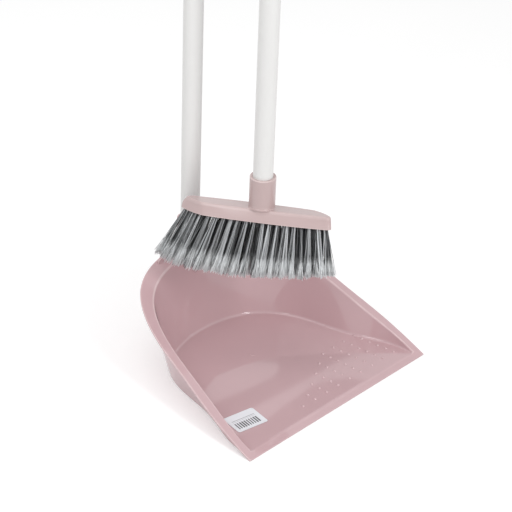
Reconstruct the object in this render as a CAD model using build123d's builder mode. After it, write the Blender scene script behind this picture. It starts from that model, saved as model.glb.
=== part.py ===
"""Long-handled dust pan and broom: the broom hangs in front of the pan's handle on a clip.

Frame: millimetres, +Z up, the ground at Z = 0, the pan's mouth faces -Y and the origin
is on the ground under the middle of the pan's floor.
"""
import os
from math import cos, radians, sin, sqrt

from build123d import *

os.makedirs("parts", exist_ok=True)

# Pan
lip_half = 125.0
floor_depth = 183.0
floor_t = 2.6
wall_t = 2.5
foot_extra = 0.8
rim_slope = 0.42
rim_at_lip = 1.2
rim_t = 2.4
lip_edge_t = 0.8
lip_bevel = 8.5
cut_past = 12.0
cut_over = 0.5
ground_cut = 60.0

# Raised pips on the right of the pan's floor, and the gate mark behind them
pip_counts = (6, 6, 6, 6, 5, 4, 3, 2, 1)
pip_r = 1.6
pip_sink = 0.6
pip_side = 19.6
pip_row_step = 16.85
pip_step = 9.3
pip_front = 22.0
pip_fan = 0.0115
gate_r = 2.2
gate_h = 0.4
gate_from_back = 67.0

# Paper label on the floor
label_l = 34.0
label_w = 26.0
label_t = 0.2
label_corner = 1.0
label_side = 40.0
label_front = 44.5
label_turn = -10.0

# Handle tubes
tube_r = 9.5
tube_wall = 0.6
seat_gap = 0.1
plug_gap = 0.05
handle_behind = 22.0
handle_reach = 94.0
pan_tube_top = 780.0

# Sockets and the threaded tips screwed into them
boss_r = 13.0
boss_z0 = 86.0
boss_top = 122.0
boss_foot_r = 4.0
boss_foot_in = 3.0
boss_foot_h = 40.0
boss_rib_t = 3.0
boss_rib_reach = 44.0
boss_rib_top = 110.0
boss_rib_end = 2.0
boss_rib_sink = 1.0
tube_seat = 16.0
tip_collar_h = 2.0
tip_collar_r = 9.3
tip_core_r = 6.4
tip_ridge_r = 7.7
tip_ridge_h = 1.6
tip_ridge_first = 2.4
tip_pitch = 4.0
tip_ridges = 3
tip_plug = 28.0
thread_bore_r = 8.0
thread_spare = 0.9

# Broom head, pitched and turned on its upright socket
head_z = 171.1
head_turn = -58.0
head_pitch = 12.5
head_t = 12.2
head_left = 78.7
head_right = 68.5
head_half = 14.5
head_end_half = 10.5
head_end_round = 7.0
head_tip_share = 0.65
head_cut = 24.0
head_cut_half = 11.8
head_cut_bow = 1.6
shoulder_drop = 6.2
shoulder_in = 0.8
top_left = 74.0
top_right = 67.0
top_half = 12.5
top_end_half = 9.8
top_cut = 17.5
top_cut_half = 10.6
head_edge = 1.2
socket_r = 12.5
socket_h = 32.5
socket_sink = 6.0
socket_edge_r = 1.0

# Tuft rows: strands rooted in strips let into the head, each tuft under a wire staple
row_mid = (-10.8, -3.6, 3.6, 10.8)
row_end = (-6.8, -2.2, 2.2, 6.8)
row_left = (57.3, 64.0, 69.5, 74.3)
row_right = (64.3, 59.0, 54.0, 47.3)
strip_half = 1.7
strip_t = 3.0
strip_gap = 0.15
tufts = 17
tuft_spread = 1.1
strand_side = 0.8
strand_l = 54.5
strand_end_cut = 6.5
strand_cut_at = -20.0
strand_cut_reach = 81.0
strand_root = 1.0
fan_gain = 1.24
fan_lean = -6.6
splay_gain = 1.3
staple_w = 4.0
staple_t = 0.5
staple_h = 2.4
staple_gap = 0.1

# Clip that carries the broom on the pan's tube
clip_z = 690.0
clip_h = 26.0
clip_r = 13.5
clip_gap = 0.05
clip_arm_t = 10.0
clip_web_t = 3.6
clip_mouth = 13.0
clip_rib = 3.5
clip_pocket_r = 3.0

# Handle ends
grip_gap = 0.3
grip_r = 12.5
grip_l = 125.0
grip_cover = 8.0
grip_top_r = 4.0
groove_depth = 0.7
groove_count = 8
groove_w = 3.0
groove_first = 18.0
groove_step = 11.0
eye_r = 4.0
eye_t = 8.0
eye_rise = 17.0
eye_sink = 4.0
grip_eye_w = 18.0
cap_eye_w = 16.5
cap_plug = 25.0
cap_h = 5.0

lip_y = -floor_depth / 2
handle_at = lip_y + floor_depth + handle_behind
broom_at = handle_at - handle_reach
tube_in_r = tube_r - tube_wall
thread_room = tip_ridge_first + tip_pitch * (tip_ridges - 1) + tip_ridge_h + thread_spare
socket_top = head_z + socket_h
yaw = radians(head_turn)
pitch = radians(head_pitch)
head_plane = Plane(
    origin=(0, broom_at, head_z),
    x_dir=(cos(yaw), sin(yaw), 0),
    z_dir=(-sin(yaw) * sin(pitch), cos(yaw) * sin(pitch), cos(pitch)),
)
head_under = head_plane.offset(-head_t)
staple_base = strip_t + strip_gap - head_t
rim_len = sqrt(1 + rim_slope * rim_slope)
rim_plane = Plane(origin=(0, lip_y, rim_at_lip), x_dir=(1, 0, 0), z_dir=(0, -rim_slope, 1))
rim_at_handle = rim_at_lip + rim_slope * (handle_at - lip_y)
floor_plane = Plane(origin=(0, lip_y, 0))

# Half outlines of the pan, as shares of the lip's half width and the floor's depth
foot_in = ((0.936, 0), (0.932, 0.13), (0.85, 0.295), (0.764, 0.46), (0.704, 0.655), (0.528, 0.88), (0, 1))
rim_in = ((0.94, 0), (0.936, 0.13), (0.905, 0.295), (0.862, 0.5), (0.8, 0.735), (0.64, 0.945), (0, 1.093))
rim_out = ((1.008, 0), (1.004, 0.13), (0.985, 0.295), (0.934, 0.52), (0.872, 0.765), (0.68, 1.02), (0, 1.164))
mouth_half = lip_half * foot_in[0][0]


def bell(plane, shares, grow, stretch, front):
    """Draw a closed bell outline, open to the front by a straight-sided mouth of that length."""
    side = []
    for a, b in shares:
        out_x = grow * min(1, 3 * a)
        out_y = grow * min(1, b)
        side.append((lip_half * a + out_x, (floor_depth * b + out_y) * stretch))
    mirrored = [(-x, y) for x, y in reversed(side)]
    corner = side[0]
    with BuildSketch(plane) as drawn:
        with BuildLine():
            Spline(*side, tangents=((0, 1), (-1, 0)))
            Spline(*mirrored, tangents=((-1, 0), (0, -1)))
            if front:
                Polyline((-corner[0], 0), (-corner[0], -front), (corner[0], -front), corner)
            else:
                Line((-corner[0], 0), corner)
        make_face()
    return drawn.sketch


def lens(plane, left, right, half, end_half, cut, cut_half):
    """Draw the head's plan: bowed edges, with its front left and back right corners cut long and round."""
    tip_at = head_tip_share * end_half
    cut_w = tip_at + cut_half
    cut_l = sqrt(cut * cut + cut_w * cut_w)
    cut_u = cut / 2 - head_cut_bow * cut_w / cut_l
    cut_v = (cut_half - tip_at) / 2 + head_cut_bow * cut / cut_l
    round_u = head_end_round * (1 - sqrt(0.5))
    round_v = tip_at + (end_half - tip_at) * sqrt(0.5)
    a = (cut - left, -cut_half)
    b = (right - head_end_round, -end_half)
    c = (right - cut, cut_half)
    d = (head_end_round - left, end_half)
    right_tip = (right, -tip_at)
    left_tip = (-left, tip_at)
    with BuildSketch(plane) as drawn:
        with BuildLine():
            ThreePointArc(a, ((a[0] + b[0]) / 2, -half), b)
            ThreePointArc(b, (right - round_u, -round_v), right_tip)
            ThreePointArc(right_tip, (right - cut_u, cut_v), c)
            ThreePointArc(c, ((c[0] + d[0]) / 2, half), d)
            ThreePointArc(d, (round_u - left, round_v), left_tip)
            ThreePointArc(left_tip, (cut_u - left, -cut_v), a)
        make_face()
    return drawn.sketch


def row_band(index, grow):
    """Draw one bowed tuft row on the head's underside as a band of even width."""
    mid = (row_right[index] - row_left[index]) / 2
    lo = -strip_half - grow
    hi = strip_half + grow
    left = -row_left[index] - grow
    right = row_right[index] + grow
    end = row_end[index]
    with BuildSketch(head_under) as drawn:
        with BuildLine():
            ThreePointArc((left, end + lo), (mid, row_mid[index] + lo), (right, end + lo))
            Line((right, end + lo), (right, end + hi))
            ThreePointArc((right, end + hi), (mid, row_mid[index] + hi), (left, end + hi))
            Line((left, end + hi), (left, end + lo))
        make_face()
    return drawn.sketch


def row_share(index, u):
    """Give a place along one row as a share of its half length, from -1 at the left to 1 at the right."""
    return (2 * u + row_left[index] - row_right[index]) / (row_right[index] + row_left[index])


def tuft_places(index):
    """Give the centres of one row's tufts in the head's plane, along the row's bow."""
    step = (row_right[index] + row_left[index] - 2 * strip_half) / (tufts - 1)
    places = []
    for k in range(tufts):
        u = strip_half - row_left[index] + step * k
        share = row_share(index, u)
        places.append((u, row_mid[index] + (row_end[index] - row_mid[index]) * share * share))
    return places


def upright(y, z):
    """Give a level plane whose origin is on a handle's axis."""
    return Plane(origin=(0, y, z))


all_tufts = [place for index in range(len(row_mid)) for place in tuft_places(index)]

# Pan: floor, walls, rim, socket, pips and gate mark in one moulding
with BuildPart() as pan_body:
    add(bell(floor_plane, foot_in, wall_t + foot_extra, 1, 0))
    add(bell(rim_plane, rim_in, wall_t, rim_len, 0))
    loft(ruled=True)
    add(bell(rim_plane, rim_out, 0, rim_len, 0))
    extrude(amount=-rim_t)
    add(bell(floor_plane.offset(floor_t), foot_in, 0, 1, cut_past))
    add(bell(rim_plane.offset(cut_over), rim_in, 0, rim_len, cut_past))
    loft(ruled=True, mode=Mode.SUBTRACT)
    with BuildSketch(Plane.YZ.offset(-mouth_half)):
        with BuildLine():
            Polyline(
                (lip_y, lip_edge_t),
                (lip_y + lip_bevel, floor_t),
                (lip_y - cut_past, floor_t),
                (lip_y - cut_past, lip_edge_t),
                close=True,
            )
        make_face()
    extrude(amount=2 * mouth_half, mode=Mode.SUBTRACT)
    with BuildSketch(Plane.XY):
        Rectangle(3 * lip_half, 3 * floor_depth)
    extrude(amount=-ground_cut, mode=Mode.SUBTRACT)
    with BuildSketch(upright(handle_at, boss_z0)):
        Circle(boss_r)
    extrude(amount=boss_top - boss_z0)
    with BuildSketch(upright(handle_at, boss_z0)):
        Circle(boss_r)
    with BuildSketch(upright(handle_at - boss_foot_in, boss_z0 - boss_foot_h)):
        Circle(boss_foot_r)
    loft()
    with BuildSketch(Plane.XZ.offset(-handle_at - boss_rib_t / 2)):
        with BuildLine():
            Polyline(
                (-boss_rib_reach, rim_at_handle - boss_rib_sink),
                (boss_rib_reach, rim_at_handle - boss_rib_sink),
                (boss_rib_reach, rim_at_handle + boss_rib_end),
                (boss_r - boss_rib_sink, boss_rib_top),
                (boss_rib_sink - boss_r, boss_rib_top),
                (-boss_rib_reach, rim_at_handle + boss_rib_end),
                close=True,
            )
        make_face()
    extrude(amount=boss_rib_t)
    with BuildSketch(upright(handle_at, boss_top)):
        Circle(tube_r + seat_gap)
    extrude(amount=-tube_seat - tip_collar_h - seat_gap, mode=Mode.SUBTRACT)
    with BuildSketch(upright(handle_at, boss_top)):
        Circle(thread_bore_r)
    extrude(amount=-tube_seat - tip_collar_h - thread_room, mode=Mode.SUBTRACT)
    pip_places = []
    for row, count in enumerate(pip_counts):
        x0 = lip_half - pip_side - pip_row_step * row
        for k in range(count):
            pip_places.append((x0 * (1 - pip_fan * k), lip_y + pip_front + pip_step * k, floor_t - pip_sink))
    with Locations(*pip_places):
        Sphere(radius=pip_r, arc_size1=0)
    with BuildSketch(upright(lip_y + floor_depth - gate_from_back, floor_t)):
        Circle(gate_r)
    extrude(amount=gate_h)
pan_body.part.label = "pan_body"
export_step(pan_body.part, "parts/pan_body.step")

# Paper label lying on the pan's floor
with BuildPart() as pan_label:
    with BuildSketch(Plane(origin=(label_side - lip_half, lip_y + label_front, floor_t))):
        with Locations(Location((0, 0, 0), (0, 0, label_turn))):
            RectangleRounded(label_l, label_w, label_corner)
    extrude(amount=label_t)
pan_label.part.label = "pan_label"
export_step(pan_label.part, "parts/pan_label.step")


def tube(y, z0, z1):
    """Make a thin-walled handle tube."""
    with BuildPart() as made:
        with BuildSketch(upright(y, z0)):
            Circle(tube_r)
            Circle(tube_in_r, mode=Mode.SUBTRACT)
        extrude(amount=z1 - z0)
    return made


def tip(y, z):
    """Make the tip pressed into a tube's lower end, with a collar and thread ridges below."""
    with BuildPart() as made:
        with BuildSketch(upright(y, z)):
            Circle(tube_in_r - plug_gap)
        extrude(amount=tip_plug)
        with BuildSketch(upright(y, z)):
            Circle(tip_collar_r)
        extrude(amount=-tip_collar_h)
        with BuildSketch(upright(y, z - tip_collar_h)):
            Circle(tip_core_r)
        extrude(amount=thread_spare - thread_room)
        for k in range(tip_ridges):
            with BuildSketch(upright(y, z - tip_collar_h - tip_ridge_first - tip_pitch * k)):
                Circle(tip_ridge_r)
            extrude(amount=-tip_ridge_h)
    return made


# Pan handle
pan_tube = tube(handle_at, boss_top - tube_seat, pan_tube_top)
pan_tube.part.label = "pan_tube"
export_step(pan_tube.part, "parts/pan_tube.step")
pan_tip = tip(handle_at, boss_top - tube_seat)
pan_tip.part.label = "pan_tip"
export_step(pan_tip.part, "parts/pan_tip.step")

# End cap of the pan's tube with a hanging eye, no wider than the tube
eye_z = pan_tube_top + cap_h + eye_rise
with BuildPart() as pan_cap:
    with BuildSketch(upright(handle_at, pan_tube_top)):
        Circle(tube_in_r - plug_gap)
    extrude(amount=-cap_plug)
    with BuildSketch(upright(handle_at, pan_tube_top)):
        Circle(tube_r)
    extrude(amount=cap_h)
    with BuildSketch(Plane.XZ.offset(-handle_at - eye_t / 2)):
        with Locations((0, eye_z - (eye_rise + eye_sink) / 2)):
            Rectangle(cap_eye_w, eye_rise + eye_sink)
        with Locations((0, eye_z)):
            Circle(cap_eye_w / 2)
            Circle(eye_r, mode=Mode.SUBTRACT)
    extrude(amount=eye_t)
pan_cap.part.label = "pan_cap"
export_step(pan_cap.part, "parts/pan_cap.step")

# Clip: closed ring round the broom's tube, arm, and snap jaw open at the back on the pan's tube
pocket_l = handle_reach - 2 * clip_r - 2 * clip_rib
pocket_h = clip_h - 2 * clip_rib
with BuildPart() as handle_clip:
    with BuildSketch(upright(broom_at, clip_z)):
        Circle(clip_r)
        with Locations((0, handle_reach)):
            Circle(clip_r)
        with Locations((0, handle_reach / 2)):
            Rectangle(clip_arm_t, handle_reach)
        Circle(tube_r + clip_gap, mode=Mode.SUBTRACT)
        with Locations((0, handle_reach)):
            Circle(tube_r + clip_gap, mode=Mode.SUBTRACT)
        with Locations((0, handle_reach + clip_r)):
            Rectangle(clip_mouth, 2 * clip_r, mode=Mode.SUBTRACT)
    extrude(amount=clip_h)
    for side in (-1, 1):
        with BuildSketch(Plane.YZ.offset(side * clip_web_t / 2)):
            with Locations((broom_at + handle_reach / 2, clip_z + clip_h / 2)):
                RectangleRounded(pocket_l, pocket_h, clip_pocket_r)
        extrude(amount=side * clip_arm_t, mode=Mode.SUBTRACT)
handle_clip.part.label = "handle_clip"
export_step(handle_clip.part, "parts/handle_clip.step")

# Broom head: bowed block with a shoulder, upright socket, tuft grooves and staple slots
with BuildPart() as broom_head:
    add(lens(head_under, head_left, head_right, head_half, head_end_half, head_cut, head_cut_half))
    add(
        lens(
            head_plane.offset(-shoulder_drop),
            head_left - shoulder_in,
            head_right - shoulder_in,
            head_half - shoulder_in,
            head_end_half - shoulder_in,
            head_cut,
            head_cut_half - shoulder_in,
        )
    )
    add(
        lens(
            head_plane.offset(-head_edge),
            top_left,
            top_right,
            top_half,
            top_end_half,
            top_cut,
            top_cut_half,
        )
    )
    add(
        lens(
            head_plane,
            top_left - head_edge,
            top_right - head_edge,
            top_half - head_edge,
            top_end_half - head_edge,
            top_cut,
            top_cut_half - head_edge,
        )
    )
    loft(ruled=True)
    with BuildSketch(upright(broom_at, socket_top)):
        Circle(socket_r)
    extrude(amount=-socket_h - socket_sink)
    fillet(broom_head.edges().filter_by(GeomType.CIRCLE).sort_by(Axis.Z)[-1], socket_edge_r)
    with BuildSketch(upright(broom_at, socket_top)):
        Circle(tube_r + seat_gap)
    extrude(amount=-tube_seat - tip_collar_h - seat_gap, mode=Mode.SUBTRACT)
    with BuildSketch(upright(broom_at, socket_top)):
        Circle(thread_bore_r)
    extrude(amount=-tube_seat - tip_collar_h - thread_room, mode=Mode.SUBTRACT)
    for index in range(len(row_mid)):
        add(row_band(index, strip_gap))
        extrude(amount=strip_t + strip_gap, mode=Mode.SUBTRACT)
    with BuildSketch(head_plane.offset(staple_base)):
        with Locations(*all_tufts):
            Rectangle(staple_w + 2 * staple_gap, staple_t + 2 * staple_gap)
    extrude(amount=staple_h + 2 * staple_gap, mode=Mode.SUBTRACT)
broom_head.part.label = "broom_head"
export_step(broom_head.part, "parts/broom_head.step")

# Flat wire staples over the folded tufts, one group
with BuildPart() as tuft_staples:
    with BuildSketch(head_plane.offset(staple_base + staple_gap)):
        with Locations(*all_tufts):
            Rectangle(staple_w, staple_t)
    extrude(amount=staple_h)
tuft_staples.part.label = "tuft_staples"
export_step(tuft_staples.part, "parts/tuft_staples.step")


def tuft_row(index):
    """Make one row: its strip and its strands, fanned so that none cross and cut on a bow."""
    roots = []
    for u, v in tuft_places(index):
        for du, dv in ((0, 0), (-1, -1), (1, -1), (1, 1), (-1, 1)):
            roots.append((u + du * tuft_spread, v + dv * tuft_spread))
    with BuildSketch(Plane.XY) as feet:
        with Locations(*roots):
            Rectangle(strand_side, strand_side)
    strands = []
    foot_plane = head_under.offset(strand_root)
    for face in feet.sketch.faces():
        foot = face.center()
        run_u = (fan_gain - 1) * foot.X + fan_lean
        run_v = (splay_gain - 1) * foot.Y
        drop = strand_l - strand_end_cut * ((foot.X - strand_cut_at) / strand_cut_reach) ** 2
        length = sqrt(run_u * run_u + run_v * run_v + drop * drop)
        way = head_plane.x_dir * run_u + head_plane.y_dir * run_v - head_plane.z_dir * drop
        placed = foot_plane * face
        strands.append(extrude(placed, amount=length, dir=way.normalized(), mode=Mode.PRIVATE))
    with BuildPart() as made:
        add(row_band(index, 0))
        extrude(amount=strip_t)
        add(strands)
    return made


# Tuft rows from the photographed side to the far side
row_names = ("bristles_front", "bristles_mid_front", "bristles_mid_back", "bristles_back")
for index, row_name in enumerate(row_names):
    bristles = tuft_row(index)
    bristles.part.label = row_name
    export_step(bristles.part, f"parts/{row_name}.step")

# Broom handle
grip_z = clip_z + clip_h + grip_gap
broom_tube = tube(broom_at, socket_top - tube_seat, grip_z + grip_l - grip_cover)
broom_tube.part.label = "broom_tube"
export_step(broom_tube.part, "parts/broom_tube.step")
broom_tip = tip(broom_at, socket_top - tube_seat)
broom_tip.part.label = "broom_tip"
export_step(broom_tip.part, "parts/broom_tip.step")

# Grip over the broom tube's top, with grooves and a hanging eye; its lower end rests on the clip
grip_eye_z = grip_z + grip_l + eye_rise
with BuildPart() as broom_grip:
    with BuildSketch(upright(broom_at, grip_z)):
        Circle(grip_r)
    extrude(amount=grip_l)
    fillet(broom_grip.edges().filter_by(GeomType.CIRCLE).sort_by(Axis.Z)[-1], grip_top_r)
    for k in range(groove_count):
        with BuildSketch(upright(broom_at, grip_z + groove_first + groove_step * k)):
            Circle(grip_r + groove_depth)
            Circle(grip_r - groove_depth, mode=Mode.SUBTRACT)
        extrude(amount=groove_w, mode=Mode.SUBTRACT)
    with BuildSketch(Plane.XZ.offset(-broom_at - eye_t / 2)):
        with Locations((0, grip_eye_z - (eye_rise + eye_sink) / 2)):
            Rectangle(grip_eye_w, eye_rise + eye_sink)
        with Locations((0, grip_eye_z)):
            Circle(grip_eye_w / 2)
            Circle(eye_r, mode=Mode.SUBTRACT)
    extrude(amount=eye_t)
    with BuildSketch(upright(broom_at, grip_z)):
        Circle(tube_r + seat_gap)
    extrude(amount=grip_l - grip_cover + seat_gap, mode=Mode.SUBTRACT)
broom_grip.part.label = "broom_grip"
export_step(broom_grip.part, "parts/broom_grip.step")
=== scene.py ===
"""Looks of a long-handled dust pan and its hanging broom, dressed over the packed solids."""
from functools import wraps
from math import cos, pi, radians, sin

import bpy
import numpy as np
from bpy.props import FloatProperty, FloatVectorProperty, IntProperty, PointerProperty
from mathutils import Matrix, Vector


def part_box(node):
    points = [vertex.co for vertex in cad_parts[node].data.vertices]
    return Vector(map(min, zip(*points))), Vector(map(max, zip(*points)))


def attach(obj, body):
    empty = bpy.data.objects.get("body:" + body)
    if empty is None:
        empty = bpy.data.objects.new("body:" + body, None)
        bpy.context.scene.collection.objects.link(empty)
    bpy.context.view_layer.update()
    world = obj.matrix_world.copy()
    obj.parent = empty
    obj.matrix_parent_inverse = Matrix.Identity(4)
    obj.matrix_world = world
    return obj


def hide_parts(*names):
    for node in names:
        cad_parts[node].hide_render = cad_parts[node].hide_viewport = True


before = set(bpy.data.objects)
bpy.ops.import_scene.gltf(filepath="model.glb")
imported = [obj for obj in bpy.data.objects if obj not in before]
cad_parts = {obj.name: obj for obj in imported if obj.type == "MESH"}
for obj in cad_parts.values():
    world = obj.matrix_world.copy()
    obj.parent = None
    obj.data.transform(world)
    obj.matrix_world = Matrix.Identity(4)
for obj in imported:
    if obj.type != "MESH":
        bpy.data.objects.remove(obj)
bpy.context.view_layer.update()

bl_info = {
    "name": "Dust pan and broom",
    "version": (1, 0, 0),
    "blender": (4, 5, 0),
    "location": "View3D > Sidebar > Dust pan",
    "description": "Builds the shapes and finishes of a dust pan with its broom",
    "category": "Object",
}

MM = 0.001

# How corners are rounded, as shares: a curve's reach on a side and the row that keeps the side flat
MOST_OF_SIDE = 0.42
FLAT_GUARD = 1.15

# Place of the ring inside a wide flat face, as a share, and how far shapes are sunk into each other
INNER_RING = 0.6
SINK = 1 * MM

# Points round a moulding, a tube, an eye and the clip's jaw
ROUND = 64
TUBE_ROUND = 72
EYE_ROUND = 96
JAW_ROUND = 90

# Half outlines of the pan, as shares of the lip's half width and the floor's depth
FOOT_IN = ((0.935, 0.046), (0.932, 0.13), (0.85, 0.295), (0.764, 0.46), (0.704, 0.655), (0.528, 0.88), (0, 1))
RIM_IN = ((0.94, 0.04), (0.936, 0.13), (0.905, 0.295), (0.862, 0.5), (0.8, 0.735), (0.64, 0.945), (0, 1.093))
RIM_OUT = ((1.008, 0), (1.004, 0.13), (0.985, 0.295), (0.934, 0.52), (0.872, 0.765), (0.68, 1.02), (0, 1.164))
PIP_COUNTS = (6, 6, 6, 6, 5, 4, 3, 2, 1)

# Points on half the pan's outline and on its lip, then places on the lip's bevel and of the middle, as shares
BELL_COUNT = 110
LIP_COUNT = 60
RIM_ON_BEVEL = 0.86
WALL_ON_BEVEL = 0.5
FLOOR_MIDDLE = 0.42

# Painted highlight on the softer edges, as shares of the paler colour: the pan's foot and lip, the head's top
# and the foot of its socket
FOOT_HIGHLIGHT = 0.05
LIP_HIGHLIGHT = 0.2
TOP_HIGHLIGHT = 0.3
SOCKET_HIGHLIGHT = 0.15

# Setbacks in millimetres at the corners of the pan's socket and of the head, from below
BOSS_ROUND = (0, 5, 1.2, 0.7, 0)
HEAD_ROUND = (0, 0.7, 2.6, 1.6, 0.7, 0)

# Setbacks of small edges: the pan's ribs and gate mark, the grip's bore and foot, the cap's plug and disc
RIB_ROUND = 0.7 * MM
GATE_ROUND = 0.3 * MM
BORE_ROUND = 0.8 * MM
GRIP_ROUND = 1.2 * MM
PLUG_ROUND = 0.6 * MM
NECK_ROUND = 0.1 * MM
DISC_ROUND = 0.4 * MM

# The clip's arm: corners of its hole, border and web in the side view, and setbacks of the last two
HOLE_CORNER = 3 * MM
BORDER_CORNER = 0.5 * MM
WEB_CORNER = 1 * MM
BORDER_ROUND = 0.8 * MM
WEB_ROUND = 0.2 * MM

# How far the outer and inner rings of the broom socket's foot are sunk into the head's top
FLARE_SINK = 0.6 * MM
WALL_SINK = 0.2 * MM

# The label's plain print in millimetres: half its width, the bars' pitch, middle and half height, the rules
PRINT_HALF = 13
BAR_STEP = 2.6
BAR_MIDDLE = -4.2
BAR_HALF = 4.6
RULE_PLACES = (4.2, 2.4)
RULE_HALF = 0.2

# Points along the head's long edges, short corners and long corners
EDGE_COUNT = 100
CORNER_COUNT = 9
CUT_COUNT = 26

# Tuft rows across the head, at its middle and at its ends, and their reach both ways, in millimetres
ROW_MID = (-10.8, -3.6, 3.6, 10.8)
ROW_END = (-6.8, -2.2, 2.2, 6.8)
ROW_LEFT = (57.3, 64.0, 69.5, 74.3)
ROW_RIGHT = (64.3, 59.0, 54.0, 47.3)
ROW_NODES = ("bristles_front", "bristles_mid_front", "bristles_mid_back", "bristles_back")
INNER_ROWS = (1, 2)

# Points along a filament and a split end, and split ends on a filament
FILAMENT_STEPS = 8
FLAG_STEPS = 4
FLAGS = 2

# Scatter of the filaments' lines: spread in a clump, leans of tufts and clumps, tips and the uneven cut
CLUMP_SPREAD = 0.17 * MM
TUFT_LEAN = 0.6 * MM
CLUMP_LEAN = 1.1 * MM
WANDER = 0.4 * MM
STRAY_SHARE = 0.02
STRAY_GAIN = 8.0
CUT_SHORT = 0.8 * MM
CUT_SPREAD = 1.0 * MM
CUT_MOST = 4 * MM

# Scatter of the filaments' own shapes: waves, taper and thickness, and the split ends' start, spread and drop
WAVE = 0.3 * MM
WAVE_TURN = 5
TAPER = 0.3
THICKNESS = (0.8, 1.3)
FLAG_LATE = 0.1
FLAG_SPREAD = 1.3 * MM
FLAG_DROP = (-2.5 * MM, 0.4 * MM)

# Scatter of the filaments' tones: shares of dark clumps, and ranges and spreads of tones and of pale tips.
# The inner rows' tufts past the first ones get more dark clumps: partly black filaments, partly painted shade
# between the outer rows
FIRST_HIDDEN_TUFT = 2
DARK_HIDDEN = 0.8
DARK_SHOWN = 0.3
DARK_TONES = (0.0, 0.15)
LIGHT_TONES = (0.3, 0.95)
TONE_SPREAD = 0.2
TIP_TONES = (0.3, 1.0)
TIP_SPREAD = 0.3
FLAG_DARK_SHARE = 0.14
FLAG_DARK_TONE = 0.05
FLAG_TONES = (0.6, 1.0)

# Lamps: name, turn from the camera and height in degrees, distance, width and height in metres, and power
LAMPS = (
    ("strip_left", -29, 32, 1.9, 0.3, 1.2, 3.4),
    ("strip_right", 42, 28, 1.9, 0.25, 1.2, 10.5),
    ("softbox_top", -60, 70, 1.8, 1.4, 1.4, 8.5),
)
LAMP_TARGET = np.array([0, 0, 0.12])

# Floor of the stage and the camera's film, in metres and millimetres
FLOOR_R = 6.0
FLOOR_Z = -0.2 * MM
SENSOR = 36

# Outlines of the grey cards as the pan's floor mirrors them, in millimetres
CARDS = (
    (
        (-110, -6), (-82, -8), (-52, -12), (-21, -16), (-12, -16), (-3, -13), (5, -8),
        (7, -2), (5, 2), (0, 9), (-6, 16), (-6, 45), (130, 45), (130, -66), (91, -51),
        (74, -45), (55, -42), (11, -42), (-30, -40), (-66, -38), (-110, -36),
    ),
    (
        (-110, -58), (-71, -60), (-40, -56), (-11, -54), (3, -52), (20, -57), (40, -70),
        (50, -100), (-110, -100),
    ),
)


def length(label, words, millimetres):
    """Make a length property from a size in millimetres."""
    return FloatProperty(name=label, description=words, default=millimetres * MM, unit="LENGTH", precision=5)


def angle(label, words, degrees):
    """Make an angle property from degrees."""
    return FloatProperty(name=label, description=words, default=radians(degrees), subtype="ANGLE")


def share(label, words, value):
    """Make a plain number property."""
    return FloatProperty(name=label, description=words, default=value)


def tint(label, words, red, green, blue):
    """Make a colour property in linear light."""
    return FloatVectorProperty(
        name=label, description=words, default=(red, green, blue), subtype="COLOR", min=0, max=1
    )


class PanSizes(bpy.types.PropertyGroup):
    """Sizes of the pan's moulding."""

    lip_half: length("Lip half width", "Half the width of the mouth's lip", 125)
    floor_depth: length("Floor depth", "Depth of the floor from the lip to the back wall", 183)
    floor_t: length("Floor thickness", "Thickness of the floor", 2.6)
    wall_t: length("Wall thickness", "Thickness of the wall at the rim", 2.5)
    foot_extra: length("Foot extra", "Extra thickness of the wall at its foot", 0.8)
    rim_slope: share("Rim slope", "Rise of the rim for each unit towards the back", 0.42)
    rim_at_lip: length("Rim height at lip", "Height of the rim at the lip", 1.2)
    rim_t: length("Rim thickness", "Thickness of the rim's flange", 2.4)
    lip_edge_t: length("Lip edge", "Thickness of the lip's edge", 0.8)
    lip_bevel: length("Lip bevel", "Width of the bevel behind the lip", 8.5)
    foot_round: length("Foot rounding", "Setback of the curve from floor to wall", 2.4)
    rim_round: length("Rim rounding", "Setback of the curve from wall to rim", 1.3)
    edge_round: length("Edge rounding", "Setback of the rim's outer edges", 0.9)
    wall_round: length("Wall rounding", "Setback of the curve under the rim", 1)
    base_round: length("Base rounding", "Setback of the curve at the underside's edge", 1.5)
    pip_r: length("Pip radius", "Radius of a raised pip", 1.6)
    pip_sink: length("Pip sink", "Depth of a pip's centre below the floor", 0.6)
    pip_side: length("Pip side", "Distance from the lip's end to the first row of pips", 19.6)
    pip_row_step: length("Pip row step", "Distance between rows of pips", 16.85)
    pip_step: length("Pip step", "Distance between pips in a row", 9.3)
    pip_front: length("Pip front", "Distance from the lip to the first pips", 22)
    pip_fan: share("Pip fan", "Share by which a row leans inwards at each pip", 0.0115)
    gate_r: length("Gate radius", "Radius of the moulding's gate mark", 2.2)
    gate_h: length("Gate height", "Height of the gate mark", 0.4)
    gate_from_back: length("Gate place", "Distance of the gate mark from the floor's back edge", 67)
    boss_r: length("Socket radius", "Outer radius of the handle socket", 13)
    boss_z0: length("Socket bottom", "Height of the socket's straight part above the ground", 86)
    boss_foot_r: length("Socket foot radius", "Radius where the socket's foot meets the wall", 4)
    boss_foot_in: length("Socket foot reach", "Forward reach of the socket's foot", 3)
    boss_foot_h: length("Socket foot height", "Height of the socket's foot", 40)
    boss_rib_t: length("Rib thickness", "Thickness of the socket's ribs", 3)
    boss_rib_reach: length("Rib reach", "Reach of the ribs along the rim", 44)
    boss_rib_top: length("Rib top", "Height of the ribs at the socket", 110)
    boss_rib_end: length("Rib end", "Height of the ribs over the rim at their far ends", 2)
    label_l: length("Label length", "Length of the paper label", 34)
    label_w: length("Label width", "Width of the paper label", 26)
    label_corner: length("Label corner", "Corner radius of the paper label", 2.2)
    label_t: length("Label thickness", "Thickness of the paper label", 0.1)
    label_lift: length("Label lift", "Lift of the paper label's edges", 0.25)
    label_turn: angle("Label turn", "Turn of the label on the floor", -10)


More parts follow.
